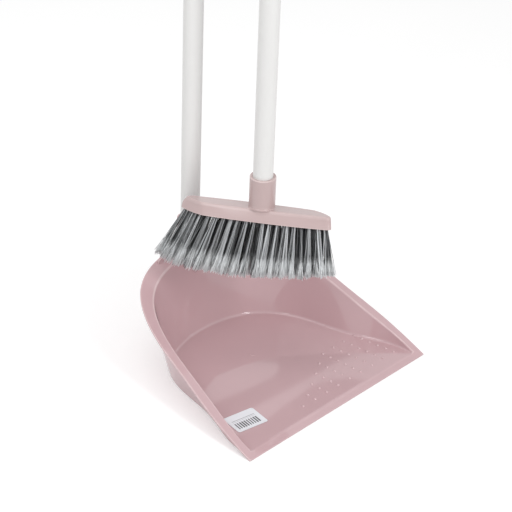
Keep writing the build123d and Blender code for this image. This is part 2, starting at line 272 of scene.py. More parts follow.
class HandleSizes(bpy.types.PropertyGroup):
    """Sizes of the tubes, clip, cap and grip."""

    tube_r: length("Tube radius", "Outer radius of both handle tubes", 9.5)
    tube_wall: length("Tube wall", "Wall of both handle tubes", 0.6)
    tube_edge: length("Tube edge", "Setback of a tube's rounded ends", 0.25)
    seat_gap: length("Seat gap", "Clearance round a tube in its socket", 0.1)
    fit_gap: length("Fit gap", "Clearance of the clip and the cap on a tube", 0.05)
    clip_r: length("Clip radius", "Outer radius of the clip's ring and jaw", 13.5)
    clip_arm_t: length("Clip arm", "Thickness of the clip's arm at its borders", 10)
    clip_web_t: length("Clip web", "Thickness of the clip's web", 3.6)
    clip_mouth: length("Clip mouth", "Width of the jaw's opening", 13)
    clip_rib: length("Clip border", "Width of the border round the web", 3.5)
    clip_round: length("Clip rounding", "Setback of the clip's outer edges", 0.9)
    clip_bore_round: length("Clip bore rounding", "Setback of the clip's inner edges", 0.5)
    grip_r: length("Grip radius", "Radius of the broom's grip", 12.5)
    grip_l: length("Grip length", "Length of the grip's round part", 125)
    grip_bore: length("Grip bore", "Depth of the grip's bore", 20)
    grip_round: length("Grip rounding", "Setback of the grip's top edge", 4)
    groove_depth: length("Groove depth", "Depth of a grip groove", 0.7)
    groove_w: length("Groove width", "Width of a grip groove", 3)
    groove_round: length("Groove rounding", "Setback of a groove's edges", 0.5)
    groove_first: length("First groove", "Height of the first groove over the grip's end", 18)
    groove_step: length("Groove step", "Distance between grooves", 11)
    groove_count: IntProperty(name="Grooves", description="Number of grooves in the grip", default=8)
    eye_r: length("Eye radius", "Radius of a hanging eye", 4)
    eye_t: length("Eye thickness", "Thickness of a hanging eye's tab", 8)
    eye_rise: length("Eye rise", "Height of an eye over the end that carries it", 17)
    eye_round: length("Eye rounding", "Setback of an eye tab's edges", 1.2)
    grip_eye_w: length("Grip eye width", "Width of the grip's tab", 18)
    cap_eye_w: length("Cap eye width", "Width of the cap's tab", 16.5)
    cap_h: length("Cap height", "Height of the cap's disc over the tube", 5)
    cap_round: length("Cap rounding", "Setback of the cap's top edge", 1.4)


class BroomSizes(bpy.types.PropertyGroup):
    """Sizes of the broom's head and tufts."""

    head_z: length("Head height", "Height of the head's top over the ground", 171.1)
    head_turn: angle("Head turn", "Turn of the head about its handle", -58)
    head_pitch: angle("Head pitch", "Pitch of the head on its socket", 12.5)
    head_t: length("Head thickness", "Thickness of the head", 12.2)
    head_left: length("Head left", "Reach of the head to the left", 78.7)
    head_right: length("Head right", "Reach of the head to the right", 68.5)
    head_half: length("Head half width", "Half the width of the head at its middle", 14.5)
    head_end_half: length("Head end half width", "Half the width of the head at its short corners", 10.5)
    head_end_round: length("Head end rounding", "Depth of the short corners", 7)
    head_tip_share: share("Head tip", "Place of the ends' tips as a share of the end's half width", 0.65)
    head_cut: length("Head cut", "Depth of the long corners, front left and back right", 24)
    head_cut_half: length("Head cut half width", "Half the width of the head at its long corners", 11.8)
    head_cut_bow: length("Head cut bow", "Bow of the long corners", 1.6)
    shoulder_drop: length("Shoulder drop", "Depth of the shoulder under the top", 6.2)
    shoulder_in: length("Shoulder inset", "Inset of the shoulder", 0.8)
    top_left: length("Top left", "Reach of the top face to the left", 74)
    top_right: length("Top right", "Reach of the top face to the right", 67)
    top_half: length("Top half width", "Half the width of the top face at its middle", 12.5)
    top_end_half: length("Top end half width", "Half the width of the top face at its short corners", 9.8)
    top_cut: length("Top cut", "Depth of the top face's long corners", 17.5)
    top_cut_half: length("Top cut half width", "Half the width of the top face at its long corners", 10.6)
    head_edge: length("Head edge", "Width and depth of the bevel round the top face", 1.2)
    socket_r: length("Socket radius", "Outer radius of the broom's socket", 12.5)
    socket_edge: length("Socket edge", "Setback of the socket's rounded rim", 1)
    socket_bore_edge: length("Socket bore edge", "Setback of the socket's inner rim", 0.8)
    socket_flare: length("Socket flare", "Setback of the curve at the socket's foot", 3)
    tube_seat: length("Tube seat", "Depth of the tube in its socket", 16)
    row_inset: length("Row inset", "Distance from a row's end to its first tuft", 1.7)
    tufts: IntProperty(name="Tufts", description="Tufts in a row", default=17)
    filaments: IntProperty(name="Filaments", description="Filaments in a tuft", default=84)
    clumps: IntProperty(name="Clumps", description="Clumps of filaments in a tuft", default=11)
    filament_r: length("Filament radius", "Radius of a filament", 0.29)
    flag_r: length("Split end radius", "Radius of a split end", 0.24)
    flag_from: share("Split start", "Share of a filament's length where its split ends leave it", 0.64)
    tuft_r: length("Tuft radius", "Radius of a tuft at its root in the outer rows", 1.7)
    tuft_in_r: length("Inner tuft radius", "Radius of a tuft at its root in the inner rows", 2.5)
    tuft_open: share("Tuft opening", "How many times wider a tuft is at its tips", 2.5)
    filament_l: length("Filament length", "Length of the filaments under the head's middle", 53.4)
    end_cut: length("End cut", "How much shorter the filaments are at the right end", 9)
    cut_at: length("Cut middle", "Place of the longest filaments along the head", -20)
    cut_reach: length("Cut reach", "Distance from the longest filaments to the right end", 81)
    fan_gain: share("Fan gain", "Spread of the tips along the head", 1.215)
    fan_lean: length("Fan lean", "Lean of the tips along the head", -6.6)
    splay_gain: share("Splay gain", "Spread of the tips across the head", 1.3)
    seed: IntProperty(name="Seed", description="Seed of the filaments' scatter", default=11)


class Finish(bpy.types.PropertyGroup):
    """Colours of the set."""

    pink: tint("Pan plastic", "Dusty pink of the pan's gloss moulding", 0.575, 0.39, 0.41)
    # Painted highlight: a paler pink laid along the pan's rounded edges where they catch the light
    pink_highlight_paint: tint("Pan edges", "Paler pink of the pan's rounded edges", 0.70, 0.53, 0.54)
    pale: tint("Broom plastic", "Paler pink of the broom's satin mouldings", 0.53, 0.40, 0.395)
    # Painted highlight: a paler pink laid along the broom's rounded edges where they catch the light
    pale_edge: tint("Broom edges", "Palest pink of the broom's rounded edges", 0.68, 0.55, 0.54)
    tube_white: tint("Tubes", "Off-white coat of the tubes", 0.78, 0.775, 0.765)
    hair_dark: tint("Dark filaments", "Near-black filament colour", 0.012, 0.013, 0.016)
    hair_light: tint("Light filaments", "Light grey filament colour", 0.78, 0.80, 0.82)
    hair_tip: tint("Filament tips", "Pale grey of the flagged tips", 0.92, 0.94, 0.95)
    paper: tint("Label", "White of the paper label", 0.79, 0.80, 0.84)
    ink: tint("Label bars", "Dark grey of the label's plain bars", 0.05, 0.05, 0.055)
    nylon: tint("Tube tips", "Natural colour of the tube tips", 0.62, 0.60, 0.55)
    steel: tint("Staples", "Colour of the steel staples", 0.55, 0.55, 0.56)


class StageSettings(bpy.types.PropertyGroup):
    """Camera and light."""

    cam_x: length("Camera X", "Camera place across the lip", -1074.0)
    cam_y: length("Camera Y", "Camera place in front of the pan", -942.8)
    cam_z: length("Camera Z", "Camera height", 956.3)
    azimuth: angle("Azimuth", "Turn of the view about the upright", -47.993)
    elevation: angle("Elevation", "Height angle of the view", 30.191)
    roll: angle("Roll", "Roll of the camera", 2.225)
    lens: share("Lens", "Focal length in millimetres on a 36 mm sensor", 123.26)
    ambient: share("Ambient", "Strength of the room's light", 0.66)
    floor_lift: share("Floor lift", "Light added to the floor where it is seen", 0.3)
    card_tone: share("Card tone", "Strength of the grey cards that the pan's floor mirrors", 0.12)
    card_rise: share("Card rise", "Height of the grey cards as a share of the camera's height", 0.5)


# Shapes

def unit(vectors):
    """Scale vectors to length one."""
    return vectors / np.maximum(np.linalg.norm(vectors, axis=-1, keepdims=True), 1e-12)


def rays(count):
    """Give unit directions at even turns round a circle."""
    turn = np.linspace(0, 2 * pi, count, endpoint=False)
    return np.stack([np.cos(turn), np.sin(turn)], axis=-1)


def with_height(ring, z):
    """Add one height, or one for each, to a ring of plan points."""
    return np.insert(np.asarray(ring, float), 2, z, axis=1)


def circle(radius, z, centre, count):
    """Place a level ring of points round a handle's axis."""
    return with_height(np.asarray(centre) + radius * rays(count), z)


def smooth_curve(points, first_slope, last_slope, count):
    """Draw a cubic curve through points, timed by chord length.

    The slopes at the points solve the tridiagonal system that makes the curvature continuous, and each span
    is the Hermite blend of its two points and slopes.
    """
    p = np.asarray(points, float)
    gaps = np.linalg.norm(np.diff(p, axis=0), axis=1)
    times = np.concatenate(([0.0], np.cumsum(gaps)))
    n = len(p)
    system = np.eye(n)
    right = np.zeros_like(p)
    right[0] = first_slope
    right[-1] = last_slope
    inner = np.arange(1, n - 1)
    system[inner, inner - 1] = gaps[1:]
    system[inner, inner] = 2 * (gaps[:-1] + gaps[1:])
    system[inner, inner + 1] = gaps[:-1]
    rise = np.diff(p, axis=0) / gaps[:, None]
    right[1:-1] = 3 * (gaps[1:, None] * rise[:-1] + gaps[:-1, None] * rise[1:])
    slopes = np.linalg.solve(system, right)
    t = np.linspace(0, times[-1], count)
    span = np.clip(np.searchsorted(times, t, side="right") - 1, 0, n - 2)
    h = gaps[span][:, None]
    s = ((t - times[span]) / gaps[span])[:, None]
    return (
        (2 * s**3 - 3 * s**2 + 1) * p[span]
        + (s**3 - 2 * s**2 + s) * h * slopes[span]
        + (3 * s**2 - 2 * s**3) * p[span + 1]
        + (s**3 - s**2) * h * slopes[span + 1]
    )


def rounded(keys, setbacks, steps=5, ring=False, pale=None):
    """Turn a section's key rows into rows with rounded corners.

    A key row holds one point for each place along the path. The section leaves its straight side a setback
    before a key, follows the quadratic curve that has the key as its control point and joins the next side
    a setback after it. A row just outside each end of the curve keeps the flats flat. An open section keeps
    its first and last rows. Gives the rows and their marks of painted highlight, paler colour in place of the
    light that rounded edges catch: the key's paleness, or 1, on a curve and else 0.
    """
    count = len(keys)
    t = np.linspace(0, 1, steps + 1)[:, None, None]
    rows = []
    marks = []
    for k, key in enumerate(keys):
        if not ring and k in (0, count - 1):
            rows.append(key)
            marks.append(0.0)
            continue
        reaches = []
        for side in (keys[k - 1] - key, keys[(k + 1) % count] - key):
            most = MOST_OF_SIDE * np.linalg.norm(side, axis=1)
            reaches.append(unit(side) * np.minimum(setbacks[k], most)[:, None])
        back, ahead = reaches
        curve = key + (1 - t) ** 2 * back + t**2 * ahead
        rows += [key + back * FLAT_GUARD, *curve, key + ahead * FLAT_GUARD]
        marks += [0.0] + [1.0 if pale is None else pale[k]] * (steps + 1) + [0.0]
    return np.array(rows), np.array(marks)


def skin(rows, marks, first_pole=None, last_pole=None, ring=False):
    """Cover rows of points, whose columns join round, with four-sided faces.

    A pole closes an end with a fan of triangles, and a ring joins its last row to its first. The faces are
    turned outwards by the sign of the volume that they enclose. Gives points, quads, triangles and the marks
    of painted highlight.
    """
    count, around = rows.shape[:2]
    r = np.arange(count if ring else count - 1)[:, None] * around
    s = (r + around) % (count * around)
    c = np.arange(around)[None, :]
    n = (c + 1) % around
    quads = np.stack(np.broadcast_arrays(r + c, r + n, s + n, s + c), axis=-1).reshape(-1, 4)
    points = rows.reshape(-1, 3)
    edge = np.broadcast_to(np.reshape(marks, (count, -1)), (count, around)).ravel()
    tris = np.zeros((0, 3), int)
    for pole, row, turn in ((first_pole, 0, -1), (last_pole, count - 1, 1)):
        if pole is not None:
            tip = np.full(around, len(points))
            fan = np.stack([row * around + c[0], row * around + n[0], tip], axis=-1)
            tris = np.concatenate([tris, fan[:, ::turn]])
            points = np.concatenate([points, [pole]])
            edge = np.append(edge, edge[row * around])
    halves = np.concatenate([quads[:, [0, 1, 2]], quads[:, [0, 2, 3]], tris])
    a, b, d = (points[halves[:, k]] for k in range(3))
    if np.sum(a * np.cross(b, d)) < 0:
        quads = quads[:, ::-1]
        tris = tris[:, ::-1]
    return points, quads, tris, edge


def turned(profile, centre, count=ROUND, ring=False, steps=5):
    """Turn a profile of (radius, height, setback) about an upright axis, with rounded corners.

    A closed profile makes a ring; an open one is closed by poles on the axis at its two ends.
    """
    keys = [circle(r, z, centre, count) for r, z, _ in profile]
    rows, marks = rounded(keys, [s for _, _, s in profile], steps, ring)
    poles = () if ring else ((*centre, profile[0][1]), (*centre, profile[-1][1]))
    return skin(rows, marks, *poles, ring=ring)


def plate(outline, thickness, axis, setback, hole=None, steps=4):
    """Thicken an outline both ways along an axis, with rounded edges.

    The outline is a closed ring of points that sees its middle from every side. With a hole, a second ring
    of as many points, the plate goes round it.
    """
    lift = unit(np.asarray(axis, float)) * thickness / 2
    if hole is not None:
        keys = [hole + lift, outline + lift, outline - lift, hole - lift]
        rows, marks = rounded(keys, [setback] * 4, steps, ring=True)
        return skin(rows, marks, ring=True)
    mid = outline.mean(axis=0)
    inner = (mid + outline) / 2
    keys = [inner + lift, outline + lift, outline - lift, inner - lift]
    rows, marks = rounded(keys, [0, setback, setback, 0], steps)
    return skin(rows, marks, mid + lift, mid - lift)


def joined(shells):
    """Join shells into one set of points, faces and painted highlight marks."""
    points, quads, tris, edges = zip(*shells)
    starts = np.cumsum([0] + [len(p) for p in points])
    quads = [faces + start for faces, start in zip(quads, starts)]
    tris = [faces + start for faces, start in zip(tris, starts)]
    return [np.concatenate(part) for part in (points, quads, tris, edges)]


def linked(name, data):
    """Make an object of a mesh, lamp or camera and put it into the scene."""
    obj = bpy.data.objects.new(name, data)
    bpy.context.scene.collection.objects.link(obj)
    return obj


def make_piece(name, body, material, shells, nodes, attributes=None):
    """Make a smooth mesh piece of shells; it rides on a body and stands for the named nodes."""
    points, quads, tris, edge = joined(shells)
    mesh = bpy.data.meshes.new(name)
    mesh.vertices.add(len(points))
    mesh.vertices.foreach_set("co", points.astype(np.float32).ravel())
    corners = np.concatenate([quads.ravel(), tris.ravel()]).astype(np.int32)
    starts = np.concatenate([np.arange(len(quads)) * 4, len(quads) * 4 + np.arange(len(tris)) * 3])
    mesh.loops.add(len(corners))
    mesh.loops.foreach_set("vertex_index", corners)
    mesh.polygons.add(len(starts))
    mesh.polygons.foreach_set("loop_start", starts.astype(np.int32))
    mesh.update(calc_edges=True)
    mesh.polygons.foreach_set("use_smooth", np.ones(len(starts), bool))
    # The edge attribute is the painted highlight mark: where it is set, the material lays a paler colour for
    # the light that rounded edges catch
    for key, values in {"edge": edge, **(attributes or {})}.items():
        mesh.attributes.new(key, "FLOAT", "POINT").data.foreach_set("value", values.astype(np.float32))
    if mesh.validate():
        raise RuntimeError(f"{name} has faulty faces")
    mesh.materials.append(material)
    piece = linked(name, mesh)
    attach(piece, body)
    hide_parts(*nodes)


def middle(node):
    """Give the middle of a solid's box."""
    low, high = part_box(node)
    return (np.array(low) + np.array(high)) / 2


# Node groups and materials

def feed(tree, node, inputs):
    """Set or link a node's inputs."""
    for key, value in inputs.items():
        if isinstance(value, bpy.types.NodeSocket):
            tree.links.new(value, node.inputs[key])
        else:
            node.inputs[key].default_value = value


def put(tree, kind, settings=None, inputs=None):
    """Add a node, set its fields and set or link its inputs."""
    node = tree.nodes.new(kind)
    for key, value in (settings or {}).items():
        setattr(node, key, value)
    feed(tree, node, inputs or {})
    return node


def calc(tree, operation, a, b, clamp=False):
    """Add a maths node on two values or sockets."""
    return put(tree, "ShaderNodeMath", {"operation": operation, "use_clamp": clamp}, {0: a, 1: b}).outputs[0]


def ramped(tree, value, gain, base):
    """Scale a value and add a base to it."""
    return put(tree, "ShaderNodeMath", {"operation": "MULTIPLY_ADD"}, {0: value, 1: gain, 2: base}).outputs[0]


def blend(tree, factor, a, b):
    """Mix two colours by a factor."""
    return put(tree, "ShaderNodeMix", {"data_type": "RGBA"}, {0: factor, 6: a, 7: b}).outputs[2]


def noise(tree, place, scale, detail):
    """Give the value of a noise pattern."""
    inputs = {"Vector": place, "Scale": scale, "Detail": detail}
    return put(tree, "ShaderNodeTexNoise", inputs=inputs).outputs["Fac"]


def attribute(tree, name):
    """Read one of the mesh's own values."""
    return put(tree, "ShaderNodeAttribute", {"attribute_name": name}).outputs["Fac"]


def bump(tree, height, distance, strength):
    """Give the normal of a surface that a height roughens."""
    inputs = {"Height": height, "Distance": distance, "Strength": strength}
    return put(tree, "ShaderNodeBump", inputs=inputs).outputs["Normal"]


def rgba(colour):
    """Give a colour with full alpha."""
    return (*colour, 1.0)


def mottled(tree, mottle, colour, low, high):
    """Vary a colour between two shares of itself by a mottling."""
    dark, light = (np.minimum(np.array(colour) * part, 1) for part in (low, high))
    return blend(tree, mottle, rgba(dark), rgba(light))


def kept(store):
    """Wrap a maker of node groups or materials so that one that was made under a name is given again."""

    def wrap(build):
        """Put the test for a name before its maker."""

        @wraps(build)
        def give(name, *values, **named):
            """Give what has the name, or make it."""
            return getattr(bpy.data, store).get(name) or build(name, *values, **named)

        return give

    return wrap


def new_group(name, inputs, outputs):
    """Start a shader node group with named sockets, each of a kind such as Float or Color."""
    tree = bpy.data.node_groups.new(name, "ShaderNodeTree")
    for way, sockets in (("INPUT", inputs), ("OUTPUT", outputs)):
        for label, kind in sockets.items():
            tree.interface.new_socket(label, in_out=way, socket_type="NodeSocket" + kind)
    return tree, tree.nodes.new("NodeGroupInput").outputs, tree.nodes.new("NodeGroupOutput")


@kept("node_groups")
def moulded_surface(name):
    """Group: faint flow mottling and fine orange peel of a moulded or coated surface."""
    sockets = {"Flow Scale": "Float", "Peel Scale": "Float", "Stretch": "Vector"}
    tree, entry, end = new_group(name, sockets, {"Mottle": "Float", "Height": "Float"})
    place = put(tree, "ShaderNodeTexCoord").outputs["Object"]
    stretched = put(tree, "ShaderNodeVectorMath", {"operation": "MULTIPLY"}, {0: place, 1: entry["Stretch"]})
    flow = noise(tree, stretched.outputs[0], entry["Flow Scale"], detail=3.0)
    peel = noise(tree, stretched.outputs[0], entry["Peel Scale"], detail=2.0)
    feed(tree, end, {"Mottle": flow, "Height": ramped(tree, flow, gain=0.6, base=peel)})
    return tree


@kept("node_groups")
def pale_edges(name):
    """Group: painted highlight, a paler colour along rounded edges where they catch the light, broken up by
    noise, from the mesh's edge mark.
    """
    sockets = {"Color": "Color", "Edge Color": "Color", "Amount": "Float"}
    tree, entry, end = new_group(name, sockets, {"Color": "Color"})
    place = put(tree, "ShaderNodeTexCoord").outputs["Object"]
    broken = calc(tree, "MULTIPLY", attribute(tree, "edge"), noise(tree, place, scale=90.0, detail=4.0))
    mask = calc(tree, "MULTIPLY", broken, entry["Amount"], clamp=True)
    feed(tree, end, {"Color": blend(tree, mask, entry["Color"], entry["Edge Color"])})
    return tree


def surface_of(tree, flow, peel, stretch=(1, 1, 1)):
    """Place the moulded surface group with its own values and give its mottling and height."""
    inputs = {"Flow Scale": flow, "Peel Scale": peel, "Stretch": stretch}
    node = put(tree, "ShaderNodeGroup", {"node_tree": moulded_surface("moulded_surface")}, inputs)
    return node.outputs["Mottle"], node.outputs["Height"]


def new_material(name):
    """Start a node material and give it, its tree and its shader."""
    material = bpy.data.materials.new(name)
    material.use_nodes = True
    return material, material.node_tree, material.node_tree.nodes["Principled BSDF"]


@kept("materials")
def plastic(name, colour, highlight_colour, rough, spread, peel, ior):
    """Moulded plastic: flow mottling in tone and gloss, faint orange peel, and paler edges that are a painted
    highlight.
    """
    material, tree, shader = new_material(name)
    mottle, height = surface_of(tree, flow=14.0, peel=420.0)
    tone = mottled(tree, mottle, colour, low=0.96, high=1.04)
    inputs = {"Color": tone, "Edge Color": rgba(highlight_colour), "Amount": 1.4}
    edges = put(tree, "ShaderNodeGroup", {"node_tree": pale_edges("pale_edges")}, inputs)
    inputs = {
        "Base Color": edges.outputs["Color"],
        "Roughness": ramped(tree, mottle, gain=spread, base=rough),
        "IOR": ior,
        "Normal": bump(tree, height, distance=peel, strength=0.5),
    }
    feed(tree, shader, inputs)
    return material


def pan_plastic(finish):
    """Dusty pink high-gloss moulding of the pan."""
    look = {"rough": 0.035, "spread": 0.03, "peel": 0.000004, "ior": 1.59}
    return plastic("pan_gloss_pink", finish.pink, finish.pink_highlight_paint, **look)


def broom_plastic(finish):
    """Paler satin moulding of the broom and the handle fittings."""
    look = {"rough": 0.15, "spread": 0.06, "peel": 0.00001, "ior": 1.55}
    return plastic("broom_satin_pink", finish.pale, finish.pale_edge, **look)


@kept("materials")
def tube_coat(name, finish):
    """White coated tube: faint lengthwise draw lines and a soft gloss."""
    material, tree, shader = new_material(name)
    mottle, height = surface_of(tree, flow=60.0, peel=500.0, stretch=(1, 1, 0.04))
    inputs = {
        "Base Color": mottled(tree, mottle, finish.tube_white, low=0.95, high=1.04),
        "Roughness": ramped(tree, mottle, gain=0.12, base=0.3),
        "Normal": bump(tree, height, distance=0.00004, strength=0.4),
    }
    feed(tree, shader, inputs)
    return material


@kept("materials")
def tuft_filaments(name, finish):
    """Mixed grey filaments: each has its own tone, and its flagged tip has its own paleness."""
    material, tree, shader = new_material(name)
    along = attribute(tree, "along")
    base = blend(tree, attribute(tree, "tone"), rgba(finish.hair_dark), rgba(finish.hair_light))
    ramp = {"Value": along, "From Min": 0.6, "From Max": 0.82}
    tipped = put(tree, "ShaderNodeMapRange", {"interpolation_type": "SMOOTHSTEP"}, ramp).outputs["Result"]
    pale = calc(tree, "MULTIPLY", tipped, attribute(tree, "pale"))
    inputs = {
        "Base Color": blend(tree, pale, base, rgba(finish.hair_tip)),
        "Roughness": ramped(tree, along, gain=0.25, base=0.4),
    }
    feed(tree, shader, inputs)
    return material


@kept("materials")
def label_sheet(name, finish):
    """White paper label with a block of even plain bars and two thin rules."""
    material, tree, shader = new_material(name)
    mottle, height = surface_of(tree, flow=120.0, peel=1500.0)
    sheet = mottled(tree, mottle, finish.paper, low=0.97, high=1.03)
    inputs = {
        "Base Color": blend(tree, attribute(tree, "print"), sheet, rgba(finish.ink)),
        "Roughness": 0.45,
        "Normal": bump(tree, height, distance=0.00003, strength=0.5),
    }
    feed(tree, shader, inputs)
    return material


@kept("materials")
def small_part(name, colour, roughness, metallic, stretch):
    """Hidden small parts: a mottled moulding or drawn wire."""
    material, tree, shader = new_material(name)
    mottle, height = surface_of(tree, flow=90.0, peel=700.0, stretch=stretch)
    inputs = {
        "Base Color": mottled(tree, mottle, colour, low=0.9, high=1.08),
        "Roughness": roughness,
        "Metallic": metallic,
        "Normal": bump(tree, height, distance=0.00005, strength=0.4),
    }
    feed(tree, shader, inputs)
    return material


# Pieces

def bell_ring(pan, lip_y, shares, front, grow):
    """Place one closed ring of the pan: a bell outline from share points and a straight line at the lip.

    The right half is a smooth curve through the points, grown outwards by the wall; the left half mirrors it.
    """
    s = np.array(shares)
    x = pan.lip_half * s[:, 0] + grow * np.minimum(1, 3 * s[:, 0])
    y = lip_y + pan.floor_depth * s[:, 1] + grow * np.minimum(1, s[:, 1])
    y[0] = lip_y + front
    half = smooth_curve(np.stack([x, y], axis=-1), (0, 1), (-1, 0), BELL_COUNT)
    mirrored = half[-2::-1] * (-1, 1)
    across = np.linspace(-1, 1, LIP_COUNT + 2)[1:-1]
    lip = np.stack([across * x[0], np.full(LIP_COUNT, y[0])], axis=-1)
    return np.concatenate([half, mirrored, lip])


def pan_shell(pan, lip_y):
    """Shape the pan: one section carried round the bell and along the lip.

    From the floor's middle the section runs out to the foot, up the wall to the rim, over the flange, down
    the outer wall and back under the floor. Along the lip the same rows lie on the bevel and the lip's edge.
    """
    bevel = pan.lip_bevel
    foot = bell_ring(pan, lip_y, FOOT_IN, bevel, 0)
    rim_in = bell_ring(pan, lip_y, RIM_IN, RIM_ON_BEVEL * bevel, 0)
    rim_out = bell_ring(pan, lip_y, RIM_OUT, 0, 0)
    wall_out = bell_ring(pan, lip_y, RIM_IN, WALL_ON_BEVEL * bevel, pan.wall_t)
    foot_out = bell_ring(pan, lip_y, FOOT_IN, bevel, pan.wall_t + pan.foot_extra)
    on_lip = np.arange(len(foot)) >= len(foot) - LIP_COUNT

    def raised(ring, lip_z, below=0):
        """Lift a ring to the rim's sloping plane, or to below it, and to its own height at the lip."""
        slope_z = pan.rim_at_lip + pan.rim_slope * (ring[:, 1] - lip_y) - below
        return with_height(ring, np.where(on_lip, lip_z, np.maximum(slope_z, 0)))

    drop = pan.floor_t - pan.lip_edge_t
    centre = np.array([0, lip_y + FLOOR_MIDDLE * pan.floor_depth])
    keys = [
        with_height(centre + (foot - centre) * INNER_RING, pan.floor_t),
        with_height(foot, pan.floor_t),
        raised(rim_in, pan.floor_t - drop * (bevel - (rim_in[:, 1] - lip_y)) / bevel),
        raised(rim_out, pan.lip_edge_t),
        raised(rim_out, 0, pan.rim_t),
        raised(wall_out, 0, pan.rim_t),
        with_height(foot_out, 0),
        with_height(centre + (foot_out - centre) * INNER_RING, 0),
    ]
    edge = pan.edge_round
    setbacks = [0, pan.foot_round, pan.rim_round, edge, edge, pan.wall_round, pan.base_round, 0]
    # Painted highlight: paler colour on the rounded rim, outer wall and base edges, faint at the foot and
    # weaker along the lip
    rows, marks = rounded(keys, setbacks, steps=6, pale=[0, FOOT_HIGHLIGHT, 1, 1, 1, 1, 1, 0])
    marks = marks[:, None] * np.where(on_lip, LIP_HIGHLIGHT, 1.0)
    return skin(rows, marks, (*centre, pan.floor_t), (*centre, 0))


def domes(places, radius, low, count=14, rings=5, first_tilt=0.18):
    """Raise a round dome at each place: rings of a sphere down to a level, closed by a pole at each end, with
    a painted highlight on its top that fades towards its foot.
    """
    tilt = np.linspace(first_tilt, 0.5 * pi, rings)[:, None, None]
    ball = np.concatenate([np.sin(tilt) * rays(count), np.cos(tilt) * np.ones((count, 1))], axis=-1)
    marks = np.linspace(1, 0, rings)
    top, foot = np.array([0, 0, radius]), np.array([0, 0, low])
    return [skin(place + ball * radius, marks, place + top, place - foot) for place in places]


def pip_places(pan, lip_y):
    """Give the pips' centres: rows from the right that lean inwards and shorten to the left."""
    rows = np.repeat(np.arange(len(PIP_COUNTS)), PIP_COUNTS)
    k = np.concatenate([np.arange(n) for n in PIP_COUNTS])
    x = (pan.lip_half - pan.pip_side - pan.pip_row_step * rows) * (1 - pan.pip_fan * k)
    y = lip_y + pan.pip_front + pan.pip_step * k
    return np.stack([x, y, np.full(len(k), pan.floor_t - pan.pip_sink)], axis=-1)


def pan_socket(pan, handle, centre, rim_z):
    """Shape the handle socket behind the pan: round socket, tapered foot and two ribs on the rim."""
    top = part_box("pan_body")[1].z
    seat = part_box("pan_tube")[0].z
    toe = pan.boss_z0 - pan.boss_foot_h
    bore = handle.tube_r + handle.seat_gap
    foot = np.array([centre[0], centre[1] - pan.boss_foot_in])
    keys = [circle(pan.boss_foot_r, toe, foot, ROUND)]
    for radius, z in ((pan.boss_r, pan.boss_z0), (pan.boss_r, top), (bore, top), (bore, seat)):
        keys.append(circle(radius, z, centre, ROUND))
    rows, marks = rounded(keys, np.array(BOSS_ROUND) * MM)
    shells = [skin(rows, marks, (*foot, toe), (*centre, seat))]
    near, far = pan.boss_r - 2 * SINK, pan.boss_rib_reach
    low, end = rim_z - SINK, rim_z + pan.boss_rib_end
    for side in (-1, 1):
        corners = np.array([(near, low), (far, low), (far, end), (near, pan.boss_rib_top)]) * (side, 1)
        outline = np.insert(dense(corners, count=12), 1, centre[1], axis=1)
        shells.append(plate(outline, pan.boss_rib_t, (0, 1, 0), RIB_ROUND))
    return shells


def dense(corners, count):
    """Divide each side of a closed outline evenly."""
    following = np.roll(corners, -1, axis=0)
    t = np.linspace(0, 1, count, endpoint=False)[None, :, None]
    return (corners[:, None] * (1 - t) + following[:, None] * t).reshape(-1, corners.shape[1])


def rounded_box(half_x, half_y, corner, count=8):
    """Draw a rectangle with round corners as a closed ring of plan points."""
    turn = np.linspace(0, pi / 2, count)
    arc = np.stack([np.cos(turn), np.sin(turn)], axis=-1) * corner
    ring = []
    for quarter, (sx, sy) in enumerate(((1, 1), (-1, 1), (-1, -1), (1, -1))):
        a = quarter * pi / 2
        spun = arc @ np.array([[cos(a), sin(a)], [-sin(a), cos(a)]])
        ring.append(spun + ((half_x - corner) * sx, (half_y - corner) * sy))
    return np.concatenate(ring)


def eye_tab(handle, width, base, centre):
    """Shape a hanging tab: a plate with a round eye, a round top and straight sides down into its carrier.

    The outline follows a half circle above the eye. Below it, each ray from the eye runs on to the side or
    the foot of the tab's rectangle, whichever it meets first.
    """
    way = rays(EYE_ROUND)
    half = width / 2
    depth = handle.eye_rise + 4 * SINK
    reach = np.maximum(np.abs(way[:, 0]), np.abs(way[:, 1]) * half / depth)
    plan = half * way / np.where(way[:, 1] < 0, reach, 1)[:, None]
    eye = (centre[0], base + handle.eye_rise)
    outline, hole = (np.insert(eye + ring, 1, centre[1], axis=1) for ring in (plan, handle.eye_r * way))
    return plate(outline, handle.eye_t, (0, 1, 0), handle.eye_round, hole=hole)


class OBJECT_OT_dust_pan(bpy.types.Operator):
    """Build the pan with its rim, pips, gate mark and handle socket"""

    bl_idname = "object.dust_pan_body"
    bl_label = "Pan"

    def execute(self, context):
        pan = context.scene.pan_sizes
        lip_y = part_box("pan_body")[0].y
        axis = middle("pan_tube")[:2]
        rim_z = pan.rim_at_lip + pan.rim_slope * (axis[1] - lip_y)
        gate = np.array([0, lip_y + pan.floor_depth - pan.gate_from_back])
        gate_z = pan.floor_t + pan.gate_h
        r = pan.gate_r
        profile = [(r, pan.floor_t - SINK, 0), (r, gate_z, GATE_ROUND), (r / 2, gate_z, 0)]
        shells = [pan_shell(pan, lip_y)]
        shells += domes(pip_places(pan, lip_y), pan.pip_r, SINK)
        shells.append(turned(profile, gate, count=24))
        shells += pan_socket(pan, context.scene.handle_sizes, axis, rim_z)
        material = pan_plastic(context.scene.finish)
        make_piece("pan", "pan", material, shells, ["pan_body"])
        return {"FINISHED"}


